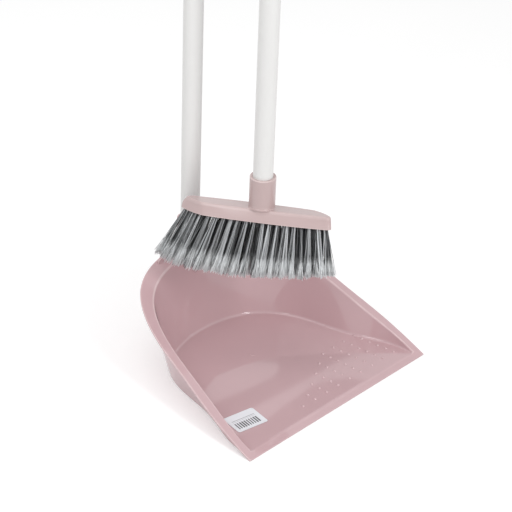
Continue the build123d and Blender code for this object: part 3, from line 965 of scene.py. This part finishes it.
class OBJECT_OT_pan_label(bpy.types.Operator):
    """Build the paper label on the pan's floor, with plain even bars"""

    bl_idname = "object.dust_pan_label"
    bl_label = "Label"

    def execute(self, context):
        pan = context.scene.pan_sizes
        side = np.linspace(-1, 1, 121)
        u, v = np.meshgrid(side, side, indexing="ij")
        attributes = {"print": self.ink(pan, u, v)}
        material = label_sheet("label_sheet", context.scene.finish)
        shell = self.sheet(pan, u, v)
        make_piece("label", "pan", material, [shell], ["pan_label"], attributes)
        return {"FINISHED"}

    def ink(self, pan, u, v):
        """Mark the print on the top side: even bars and thin rules, as far as the print is wide."""
        x = u * pan.label_l / 2 / MM
        y = v * pan.label_w / 2 / MM
        bars = (np.mod(x + PRINT_HALF, BAR_STEP) < BAR_STEP / 2) & (np.abs(y - BAR_MIDDLE) < BAR_HALF)
        rules = np.min([np.abs(y - place) for place in RULE_PLACES], axis=0) < RULE_HALF
        top = (np.abs(x) < PRINT_HALF) & (bars | rules)
        return np.concatenate([top.ravel(), np.zeros(top.size)])

    def sheet(self, pan, u, v):
        """Shape the paper: a turned grid with round corners and faintly lifted edges, and its underside.

        Past the straight part of a corner, a point moves in along its ray until squares become circles. The
        edges lift with a high power of the distance from the middle.
        """
        count = len(u)
        size = count * count
        centre = middle("pan_label")
        half_l, half_w = pan.label_l / 2, pan.label_w / 2
        x = u * half_l
        y = v * half_w
        core_x = np.clip(x, pan.label_corner - half_l, half_l - pan.label_corner)
        core_y = np.clip(y, pan.label_corner - half_w, half_w - pan.label_corner)
        out_x, out_y = x - core_x, y - core_y
        reach = np.maximum(np.hypot(out_x, out_y), 1e-9)
        ease = np.where(reach > 1e-8, np.maximum(np.abs(out_x), np.abs(out_y)) / reach, 1)
        round_x = core_x + out_x * ease
        round_y = core_y + out_y * ease
        turn = pan.label_turn
        px = centre[0] + round_x * cos(turn) - round_y * sin(turn)
        py = centre[1] + round_x * sin(turn) + round_y * cos(turn)
        lift = pan.label_lift * np.maximum(np.abs(u), np.abs(v)) ** 8
        top = np.stack([px, py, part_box("pan_label")[1].z + lift], axis=-1).reshape(-1, 3)
        index = np.arange(size).reshape(count, count)
        corners = (index[:-1, :-1], index[1:, :-1], index[1:, 1:], index[:-1, 1:])
        quads = np.stack(corners, axis=-1).reshape(-1, 4)
        border = np.concatenate([index[:-1, 0], index[-1, :-1], index[:0:-1, -1], index[0, :0:-1]])
        following = np.roll(border, -1)
        side = np.stack([border, border + size, following + size, following], axis=-1)
        points = np.concatenate([top, top - (0, 0, pan.label_t)])
        quads = np.concatenate([quads, quads[:, ::-1] + size, side])
        return points, quads, np.zeros((0, 3), int), np.zeros(2 * size)


class OBJECT_OT_handle_tubes(bpy.types.Operator):
    """Build the two white handle tubes"""

    bl_idname = "object.dust_pan_tubes"
    bl_label = "Handle tubes"

    def execute(self, context):
        handle = context.scene.handle_sizes
        material = tube_coat("tube_coat", context.scene.finish)
        outer, inner, edge = handle.tube_r, handle.tube_r - handle.tube_wall, handle.tube_edge
        for node, body in (("pan_tube", "pan"), ("broom_tube", "broom")):
            low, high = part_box(node)
            corners = ((outer, low.z), (outer, high.z), (inner, high.z), (inner, low.z))
            profile = [(*corner, edge) for corner in corners]
            shell = turned(profile, middle(node)[:2], TUBE_ROUND, ring=True, steps=3)
            make_piece(node + "_coat", body, material, [shell], [node])
        return {"FINISHED"}


class OBJECT_OT_handle_ends(bpy.types.Operator):
    """Build the grip and the end cap with their hanging eyes"""

    bl_idname = "object.dust_pan_ends"
    bl_label = "Grip and cap"

    def execute(self, context):
        handle = context.scene.handle_sizes
        material = broom_plastic(context.scene.finish)
        axis = middle("broom_grip")[:2]
        profile = self.grip_profile(handle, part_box("broom_grip")[0].z)
        tab = eye_tab(handle, handle.grip_eye_w, profile[-1][1], axis)
        make_piece("grip", "broom", material, [turned(profile, axis), tab], ["broom_grip"])
        axis = middle("pan_cap")[:2]
        profile = self.cap_profile(handle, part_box("pan_cap")[0].z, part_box("pan_tube")[1].z)
        tab = eye_tab(handle, handle.cap_eye_w, profile[-1][1], axis)
        make_piece("cap", "pan", material, [turned(profile, axis), tab], ["pan_cap"])
        return {"FINISHED"}

    def grip_profile(self, handle, low):
        """Draw the grip from its bore round its lower edge, over the grooves and in at its top."""
        r = handle.grip_r
        deep = r - handle.groove_depth
        bore = handle.tube_r + handle.seat_gap
        ease = handle.groove_round
        profile = [(bore, low + handle.grip_bore, 0), (bore, low, BORE_ROUND), (r, low, GRIP_ROUND)]
        for k in range(handle.groove_count):
            z = low + handle.groove_first + handle.groove_step * k
            end = z + handle.groove_w
            profile += [(r, z, ease), (deep, z, ease), (deep, end, ease), (r, end, ease)]
        top = low + handle.grip_l
        return profile + [(r, top, handle.grip_round), (0.3 * r, top, 0)]

    def cap_profile(self, handle, low, tube_top):
        """Draw the cap from its plug in the tube out to its disc on the tube's end."""
        plug = handle.tube_r - handle.tube_wall - handle.fit_gap
        top = tube_top + handle.cap_h
        profile = [(0.5 * plug, low, 0), (plug, low, PLUG_ROUND), (plug, tube_top, NECK_ROUND)]
        profile += [(handle.tube_r, tube_top, DISC_ROUND), (handle.tube_r, top, handle.cap_round)]
        return profile + [(0.4 * plug, top, 0)]


class OBJECT_OT_handle_clip(bpy.types.Operator):
    """Build the clip that carries the broom: ring, webbed arm and snap jaw"""

    bl_idname = "object.dust_pan_clip"
    bl_label = "Clip"

    def execute(self, context):
        handle = context.scene.handle_sizes
        low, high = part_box("handle_clip")
        front, back = middle("broom_tube")[:2], middle("pan_tube")[:2]
        bore = handle.tube_r + handle.fit_gap
        edge, bore_edge = handle.clip_round, handle.clip_bore_round
        profile = [(handle.clip_r, low.z, edge), (handle.clip_r, high.z, edge)]
        profile += [(bore, high.z, bore_edge), (bore, low.z, bore_edge)]
        ring = turned(profile, front, TUBE_ROUND, ring=True, steps=4)
        gap = np.arcsin(handle.clip_mouth / 2 / bore)
        turn = np.linspace(pi / 2 + gap, pi / 2 - gap + 2 * pi, JAW_ROUND)
        way = np.stack([np.cos(turn), np.sin(turn)], axis=-1)
        keys = [with_height(back + r * way, z) for r, z, _ in profile]
        rows, _ = rounded(keys, [s for _, _, s in profile], steps=4, ring=True)
        across = np.swapaxes(rows, 0, 1)
        jaw = skin(across, np.zeros(JAW_ROUND), across[0].mean(axis=0), across[-1].mean(axis=0))
        start = np.array([front[1] + handle.clip_r - SINK, low.z])
        end = np.array([back[1] - handle.clip_r + SINK, high.z])

        def upright(inset, corner):
            """Draw the arm's side view, set in from its borders, on the plane between the handles."""
            half = (end - start) / 2 - inset
            return np.insert((start + end) / 2 + rounded_box(*half, corner), 0, front[0], axis=1)

        sideways = (1, 0, 0)
        hole = upright(handle.clip_rib, HOLE_CORNER)
        border = plate(upright(0, BORDER_CORNER), handle.clip_arm_t, sideways, BORDER_ROUND, hole=hole)
        web = plate(upright(SINK, WEB_CORNER), handle.clip_web_t, sideways, WEB_ROUND)
        material = broom_plastic(context.scene.finish)
        make_piece("clip", "clip", material, [ring, jaw, border, web], ["handle_clip"])
        return {"FINISHED"}


def head_axes(broom):
    """Give the head's own axes: along, across and out of its top face."""
    yaw, pitch = broom.head_turn, broom.head_pitch
    along = np.array([cos(yaw), sin(yaw), 0])
    out = np.array([-sin(yaw) * sin(pitch), cos(yaw) * sin(pitch), cos(pitch)])
    return np.stack([along, np.cross(out, along), out])


def head_place(broom, local):
    """Carry points from the head's own axes to the set's frame."""
    axis = middle("broom_tube")[:2]
    return np.array([axis[0], axis[1], broom.head_z]) + local @ head_axes(broom)


def arc_through(a, b, c, count):
    """Place points on the circle's arc that runs from a through b to c, without c itself."""
    a, b, c = (complex(*point) for point in (a, b, c))
    ratio = (c - a) / (b - a)
    centre = (b - a) * (ratio - abs(ratio) ** 2) / (2j * ratio.imag) + a
    sweep = np.angle((b - centre) / (a - centre)) + np.angle((c - centre) / (b - centre))
    spots = centre + (a - centre) * np.exp(1j * sweep * np.linspace(0, 1, count, endpoint=False))
    return np.stack([spots.real, spots.imag], axis=-1)


def lens_ring(broom, left, right, half, end_half, cut, cut_half, depth):
    """Place the head's plan at a depth, in the set's frame.

    Six arcs: two bowed edges, a short round corner at the front right and back left, and a long cut with a
    slight bow at the front left and back right. The back half is the front half with its reaches changed
    over, turned by half a turn. Averaging neighbours softens the joints between the arcs.
    """
    tip = broom.head_tip_share * end_half
    wide = tip + cut_half
    slant = np.hypot(cut, wide)
    cut_u = cut / 2 - broom.head_cut_bow * wide / slant
    cut_v = (cut_half - tip) / 2 + broom.head_cut_bow * cut / slant
    round_u = broom.head_end_round * (1 - cos(pi / 4))
    round_v = tip + (end_half - tip) * cos(pi / 4)

    def half_ring(left, right):
        """Draw the front edge, the corner at its right and the cut behind that."""
        a, b = (cut - left, -cut_half), (right - broom.head_end_round, -end_half)
        c, d = (right, -tip), (right - cut, cut_half)
        edge = arc_through(a, ((a[0] + b[0]) / 2, -half), b, EDGE_COUNT)
        corner = arc_through(b, (right - round_u, -round_v), c, CORNER_COUNT)
        return np.concatenate([edge, corner, arc_through(c, (right - cut_u, cut_v), d, CUT_COUNT)])

    ring = np.concatenate([half_ring(left, right), -half_ring(right, left)])
    for _ in range(3):
        ring = 0.5 * ring + 0.25 * (np.roll(ring, 1, axis=0) + np.roll(ring, -1, axis=0))
    return head_place(broom, with_height(ring, depth))


class OBJECT_OT_broom_head(bpy.types.Operator):
    """Build the broom's head with its socket"""

    bl_idname = "object.dust_pan_broom_head"
    bl_label = "Broom head"

    def execute(self, context):
        broom = context.scene.broom_sizes
        shells = [self.block(broom), self.socket(broom, context.scene.handle_sizes)]
        material = broom_plastic(context.scene.finish)
        make_piece("head", "broom", material, shells, ["broom_head"])
        return {"FINISHED"}

    def block(self, broom):
        """Shape the head: plans from the underside over the shoulder to the bevelled top face, joined up."""
        parts = ("left", "right", "half", "end_half", "cut", "cut_half")
        low = np.array([getattr(broom, "head_" + part) for part in parts])
        top = np.array([getattr(broom, "top_" + part) for part in parts])
        all_but_cut = np.array([1, 1, 1, 1, 0, 1])
        shoulder = low - broom.shoulder_in * all_but_cut
        face = top - broom.head_edge * all_but_cut
        plans = ((low, broom.head_t), (shoulder, broom.shoulder_drop), (top, broom.head_edge), (face, 0))
        keys = [lens_ring(broom, *plan, -depth) for plan, depth in plans]
        below, above = head_place(broom, np.array([[0, 0, -broom.head_t], [0, 0, 0]]))
        keys = [below + INNER_RING * (keys[0] - below), *keys, above + INNER_RING * (keys[-1] - above)]
        # Painted highlight: paler colour along the head's bottom edge and, weaker, along the edges of its top
        # bevel
        rows, marks = rounded(keys, np.array(HEAD_ROUND) * MM, pale=[0, 1, 0, TOP_HIGHLIGHT, TOP_HIGHLIGHT, 0])
        return skin(rows, marks, below, above)

    def socket(self, broom, handle):
        """Shape the socket: a flared foot on the head's sloping top, an upright wall, a rim and its bore."""
        axis = middle("broom_tube")[:2]
        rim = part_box("broom_head")[1].z
        seat = rim - broom.tube_seat
        bore = handle.tube_r + handle.seat_gap
        out = head_axes(broom)[2]

        def foot_ring(radius, sink):
            """Place a ring on the head's sloping top face, sunk a little."""
            ring = circle(radius, broom.head_z - sink, axis, TUBE_ROUND)
            ring[:, 2] -= (ring[:, :2] - axis) @ out[:2] / out[2]
            return ring

        wall = broom.socket_r
        keys = [foot_ring(wall + broom.socket_flare, FLARE_SINK), foot_ring(wall, WALL_SINK)]
        for radius, z in ((wall, rim), (bore, rim), (bore, seat)):
            keys.append(circle(radius, z, axis, TUBE_ROUND))
        setbacks = [0, broom.socket_flare, broom.socket_edge, broom.socket_bore_edge, 0]
        # Painted highlight: paler colour round the socket's rim and bore edge, and faintly on its flared foot
        rows, marks = rounded(keys, setbacks, pale=[0, SOCKET_HIGHLIGHT, 1, 1, 0])
        return skin(rows, marks, (*axis, broom.head_z - 4 * SINK), (*axis, seat))


def tuft_roots(broom, index):
    """Give one row's tuft centres along its bow, in the head's axes."""
    left, right = ROW_LEFT[index] * MM, ROW_RIGHT[index] * MM
    u = np.linspace(broom.row_inset - left, right - broom.row_inset, broom.tufts)
    bow = ((2 * u + left - right) / (left + right)) ** 2
    v = (ROW_MID[index] + (ROW_END[index] - ROW_MID[index]) * bow) * MM
    return np.stack([u, v], axis=-1)


def strands(paths, radii):
    """Cover paths of points with three-sided strands, closed by a triangle at each end.

    Each path point carries a small triangle across the head's axes, and neighbouring triangles are joined.
    """
    count, steps = paths.shape[:2]
    spin = np.linspace(0, 2 * pi, count)[:, None] + np.arange(3) * 2 * pi / 3
    corner = np.stack([np.cos(spin), np.sin(spin), np.zeros_like(spin)], axis=-1)
    points = (paths[:, :, None] + corner[:, None] * radii[:, :, None, None]).reshape(-1, 3)
    near = np.arange(count * steps * 3).reshape(count, steps, 3)
    far = np.roll(near, -1, axis=2)
    quads = np.stack([near[:, :-1], near[:, 1:], far[:, 1:], far[:, :-1]], axis=-1).reshape(-1, 4)
    tris = np.concatenate([near[:, 0], near[:, -1, ::-1]])
    return points, quads, tris, np.zeros(len(points))


def filament_lines(broom, index, rng):
    """Scatter one row's filaments: their roots and tips in the head's plan, their lengths and their clumps.

    A tuft's disc holds a few clumps, and a filament starts in one of them. It runs straight to a tip that the
    head's fan, the tuft's own opening and the leans of tuft and clump push out. The tips are cut on a bow.
    """
    tuft = np.repeat(np.arange(broom.tufts), broom.filaments)
    centres = tuft_roots(broom, index)[tuft]
    count = len(centres)
    groups = broom.tufts * broom.clumps
    clump = tuft * broom.clumps + rng.integers(0, broom.clumps, count)
    radius = (broom.tuft_in_r if index in INNER_ROWS else broom.tuft_r) * np.sqrt(rng.random(groups))
    turn = rng.random(groups) * 2 * pi
    homes = np.stack([radius * np.cos(turn), radius * np.sin(turn)], axis=-1)
    offset = homes[clump] + rng.normal(0, CLUMP_SPREAD, (count, 2))
    root = centres + offset
    lean = rng.normal(0, TUFT_LEAN, (broom.tufts, 2))[tuft]
    lean += rng.normal(0, CLUMP_LEAN, (groups, 2))[clump]
    stray = np.where(rng.random(count) < STRAY_SHARE, STRAY_GAIN, 1.0)[:, None]
    lean += rng.normal(0, WANDER, (count, 2)) * stray
    fan = centres * (broom.fan_gain - 1, broom.splay_gain - 1) + (broom.fan_lean, 0)
    tip = root + fan + offset * (broom.tuft_open - 1) + lean
    trim = broom.end_cut * ((centres[:, 0] - broom.cut_at) / broom.cut_reach) ** 2
    uneven = np.clip(rng.normal(-CUT_SHORT, CUT_SPREAD, count), -CUT_MOST, 0)
    return root, tip, broom.filament_l - trim + uneven, clump


def tuft_row(broom, index, rng):
    """Grow one row of tufts.

    Each filament follows its line with a small wave that grows along it, and a clump shares one tone. Two
    finer split ends leave each filament on its last third and spread out.
    """
    root, tip, deep, clump = filament_lines(broom, index, rng)
    count = len(root)
    flags = count * FLAGS
    groups = broom.tufts * broom.clumps
    base = with_height(root, SINK - broom.head_t)[:, None]
    line = with_height(tip - root, -deep)[:, None]
    t = np.linspace(0, 1, FILAMENT_STEPS)
    phase = rng.random((count, 1, 2)) * 2 * pi
    swing = rng.normal(0, WAVE, (count, 1, 2)) * t[:, None]
    paths = base + line * t[:, None]
    paths[..., :2] += swing * np.sin(phase + WAVE_TURN * t[:, None])
    thick = broom.filament_r * (1 - TAPER * t) * rng.uniform(*THICKNESS, (count, 1))
    # Inner-row tufts between the outer rows get more dark clumps: partly black filaments, partly painted
    # shade
    hidden = (index in INNER_ROWS) & (np.arange(groups) // broom.clumps >= FIRST_HIDDEN_TUFT)
    dark = rng.random(groups) < np.where(hidden, DARK_HIDDEN, DARK_SHOWN)
    tone = np.where(dark, rng.uniform(*DARK_TONES, groups), rng.uniform(*LIGHT_TONES, groups))[clump]
    tone = np.clip(tone + rng.normal(0, TONE_SPREAD, count), 0, 1)
    pale = np.clip(rng.uniform(*TIP_TONES, groups)[clump] + rng.normal(0, TIP_SPREAD, count), 0, 1)
    flag_pale = np.where(rng.random(flags) < FLAG_DARK_SHARE, FLAG_DARK_TONE, rng.uniform(*FLAG_TONES, flags))
    leave = broom.flag_from + FLAG_LATE * rng.random((count, 1))
    run = np.linspace(0, 1, FLAG_STEPS)
    at = leave + (1 - leave) * run
    hairs = np.repeat(base + line * at[..., None], FLAGS, axis=0)
    hairs[..., :2] += rng.normal(0, FLAG_SPREAD, (flags, 1, 2)) * run[:, None]
    hairs[..., 2] += rng.uniform(*FLAG_DROP, (flags, 1)) * run
    fine = np.full((flags, FLAG_STEPS), broom.flag_r)
    points, *faces_and_marks = joined([strands(paths, thick), strands(hairs, fine)])
    on_main, on_flag = 3 * FILAMENT_STEPS, 3 * FLAG_STEPS
    values = {
        "tone": (np.repeat(tone, on_main), np.repeat(tone, FLAGS * on_flag)),
        "along": (np.repeat(np.tile(t, count), 3), np.repeat(np.repeat(at, FLAGS, axis=0), 3)),
        "pale": (np.repeat(pale, on_main), np.repeat(flag_pale, on_flag)),
    }
    attributes = {key: np.concatenate(parts) for key, parts in values.items()}
    return (head_place(broom, points), *faces_and_marks), attributes


class OBJECT_OT_broom_tufts(bpy.types.Operator):
    """Build the four rows of tufts out of single filaments with split ends"""

    bl_idname = "object.dust_pan_tufts"
    bl_label = "Tufts"

    def execute(self, context):
        broom = context.scene.broom_sizes
        material = tuft_filaments("tuft_filaments", context.scene.finish)
        rng = np.random.default_rng(broom.seed)
        for index, node in enumerate(ROW_NODES):
            shell, attributes = tuft_row(broom, index, rng)
            make_piece(node + "_hair", "broom", material, [shell], [node], attributes)
        return {"FINISHED"}


class OBJECT_OT_hidden_parts(bpy.types.Operator):
    """Finish the tube tips and the staples, which keep their own shapes"""

    bl_idname = "object.dust_pan_hidden"
    bl_label = "Tips and staples"

    def execute(self, context):
        finish = context.scene.finish
        nylon = small_part("tip_nylon", finish.nylon, roughness=0.5, metallic=0.0, stretch=(1, 1, 1))
        steel = small_part("staple_steel", finish.steel, roughness=0.35, metallic=1.0, stretch=(1, 1, 0.1))
        for node, material in (("pan_tip", nylon), ("broom_tip", nylon), ("tuft_staples", steel)):
            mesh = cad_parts[node].data
            mesh.materials.clear()
            mesh.materials.append(material)
        return {"FINISHED"}


# Stage

def seen_rays(tree):
    """Give 1 for rays from the camera and for rays that gloss or glass send on."""
    path = put(tree, "ShaderNodeLightPath").outputs
    direct = calc(tree, "MAXIMUM", path["Is Camera Ray"], path["Is Glossy Ray"])
    return calc(tree, "MAXIMUM", direct, path["Is Transmission Ray"])


def glowing(tree, strength):
    """Give a white glow of a strength."""
    return put(tree, "ShaderNodeEmission", inputs={"Strength": strength}).outputs[0]


def flat_sheet(name, spots, material):
    """Make a flat sheet of the stage from its outline."""
    mesh = bpy.data.meshes.new(name)
    mesh.from_pydata(spots.tolist(), [], [list(range(len(spots)))])
    mesh.materials.append(material)
    return linked(name, mesh)


def outward(azimuth, elevation):
    """Give the direction from the set to a place at a turn and a height angle."""
    return np.array([sin(azimuth) * cos(elevation), -cos(azimuth) * cos(elevation), sin(elevation)])


def stand(obj, side, up, back, place):
    """Put an object at a place, with its own three axes along the given ones."""
    turn = np.eye(4)
    turn[:3] = np.stack([side, up, back, place], axis=-1)
    obj.matrix_world = Matrix(turn.tolist())


class SCENE_OT_dust_pan_stage(bpy.types.Operator):
    """Build the floor, lamps, world and camera"""

    bl_idname = "scene.dust_pan_stage"
    bl_label = "Stage"

    def execute(self, context):
        scene = context.scene
        stage = scene.stage_settings
        scene.view_settings.view_transform = "Standard"
        self.floor(stage)
        self.world(scene, stage)
        self.camera(scene, stage)
        self.lamps(stage)
        self.cards(stage, scene.pan_sizes.floor_t)
        return {"FINISHED"}

    def floor(self, stage):
        """Lay a wide pale floor whose own brightness lifts it to white where it is seen."""
        material, tree, shader = new_material("studio_floor")
        mottle, _ = surface_of(tree, flow=3.0, peel=300.0)
        tone = mottled(tree, mottle, (0.8, 0.8, 0.8), low=1.0, high=1.025)
        feed(tree, shader, {"Base Color": tone, "Roughness": 0.9, "Specular IOR Level": 0.0})
        glow = glowing(tree, calc(tree, "MULTIPLY", seen_rays(tree), stage.floor_lift))
        added = put(tree, "ShaderNodeAddShader", inputs={0: shader.outputs[0], 1: glow})
        feed(tree, tree.nodes["Material Output"], {"Surface": added.outputs[0]})
        floor = flat_sheet("floor", circle(FLOOR_R, FLOOR_Z, (0, 0), ROUND), material)

    def world(self, scene, stage):
        """Surround the set with soft even light that shows as white."""
        world = bpy.data.worlds.new("studio")
        world.use_nodes = True
        tree = world.node_tree
        strength = ramped(tree, seen_rays(tree), gain=1.0 - stage.ambient, base=stage.ambient)
        feed(tree, tree.nodes["Background"], {"Color": (1, 1, 1, 1), "Strength": strength})
        scene.world = world

    def camera(self, scene, stage):
        """Stand the camera where the view was taken."""
        azimuth, roll = stage.azimuth, stage.roll
        back = outward(azimuth, stage.elevation)
        right = np.array([cos(azimuth), sin(azimuth), 0])
        up = np.cross(back, right)
        camera = linked("camera", bpy.data.cameras.new("camera"))
        camera.data.sensor_width = SENSOR
        camera.data.lens = stage.lens
        camera.data.clip_end = 30
        side = right * cos(roll) + up * sin(roll)
        place = (stage.cam_x, stage.cam_y, stage.cam_z)
        stand(camera, side, up * cos(roll) - right * sin(roll), back, place)
        scene.camera = camera

    def lamps(self, stage):
        """Light the set with two tall strips beside the camera and a wide softbox above."""
        for name, turn, height, far, wide, tall, power in LAMPS:
            lamp = linked(name, bpy.data.lights.new(name, "AREA"))
            lamp.data.shape = "RECTANGLE"
            lamp.data.size = wide
            lamp.data.size_y = tall
            lamp.data.energy = power
            lamp.visible_camera = False
            back = outward(stage.azimuth + radians(turn), radians(height))
            side = unit(np.cross((0, 0, 1), back))
            stand(lamp, side, np.cross(back, side), back, LAMP_TARGET + far * back)

    def cards(self, stage, floor_t):
        """Hang level grey cards behind the set that only gloss can see.

        Each outline is drawn where the pan's floor shows the card. The mirrored camera looks up through that
        outline, so the card is the outline enlarged from the mirrored camera up to the card's height.
        """
        mirrored = np.array([stage.cam_x, stage.cam_y, 2 * floor_t - stage.cam_z])
        material, tree, shader = new_material("studio_card")
        feed(tree, tree.nodes["Material Output"], {"Surface": glowing(tree, stage.card_tone)})
        tree.nodes.remove(shader)
        for k, outline in enumerate(CARDS):
            spots = with_height(np.array(outline) * MM, floor_t)
            card = flat_sheet(f"card_{k}", spots + (spots - mirrored) * stage.card_rise, material)
            for ray in ("camera", "diffuse", "shadow", "transmission"):
                setattr(card, f"visible_{ray}", False)


STEPS = (
    OBJECT_OT_dust_pan,
    OBJECT_OT_pan_label,
    OBJECT_OT_handle_tubes,
    OBJECT_OT_handle_ends,
    OBJECT_OT_handle_clip,
    OBJECT_OT_broom_head,
    OBJECT_OT_broom_tufts,
    OBJECT_OT_hidden_parts,
    SCENE_OT_dust_pan_stage,
)
GROUPS = {
    "pan_sizes": PanSizes,
    "handle_sizes": HandleSizes,
    "broom_sizes": BroomSizes,
    "finish": Finish,
    "stage_settings": StageSettings,
}


class VIEW3D_PT_dust_pan(bpy.types.Panel):
    """Sidebar list of the set's sizes, colours and building steps"""

    bl_label = "Dust pan and broom"
    bl_space_type = "VIEW_3D"
    bl_region_type = "UI"
    bl_category = "Dust pan"

    def draw(self, context):
        for key, kind in GROUPS.items():
            box = self.layout.box()
            box.label(text=kind.__doc__)
            for field in kind.__annotations__:
                box.prop(getattr(context.scene, key), field)
        for step in STEPS:
            self.layout.operator(step.bl_idname)


def register():
    """Register the classes and hang the property groups on the scene."""
    for kind in (*GROUPS.values(), *STEPS, VIEW3D_PT_dust_pan):
        bpy.utils.register_class(kind)
    for key, kind in GROUPS.items():
        setattr(bpy.types.Scene, key, PointerProperty(type=kind))


def unregister():
    """Take the property groups and classes away again."""
    for key in GROUPS:
        delattr(bpy.types.Scene, key)
    for kind in (VIEW3D_PT_dust_pan, *reversed(STEPS), *GROUPS.values()):
        bpy.utils.unregister_class(kind)


def main():
    """Register the classes and build every piece in order."""
    register()
    for step in STEPS:
        area, name = step.bl_idname.split(".")
        getattr(getattr(bpy.ops, area), name)()


if __name__ == "__main__":
    main()
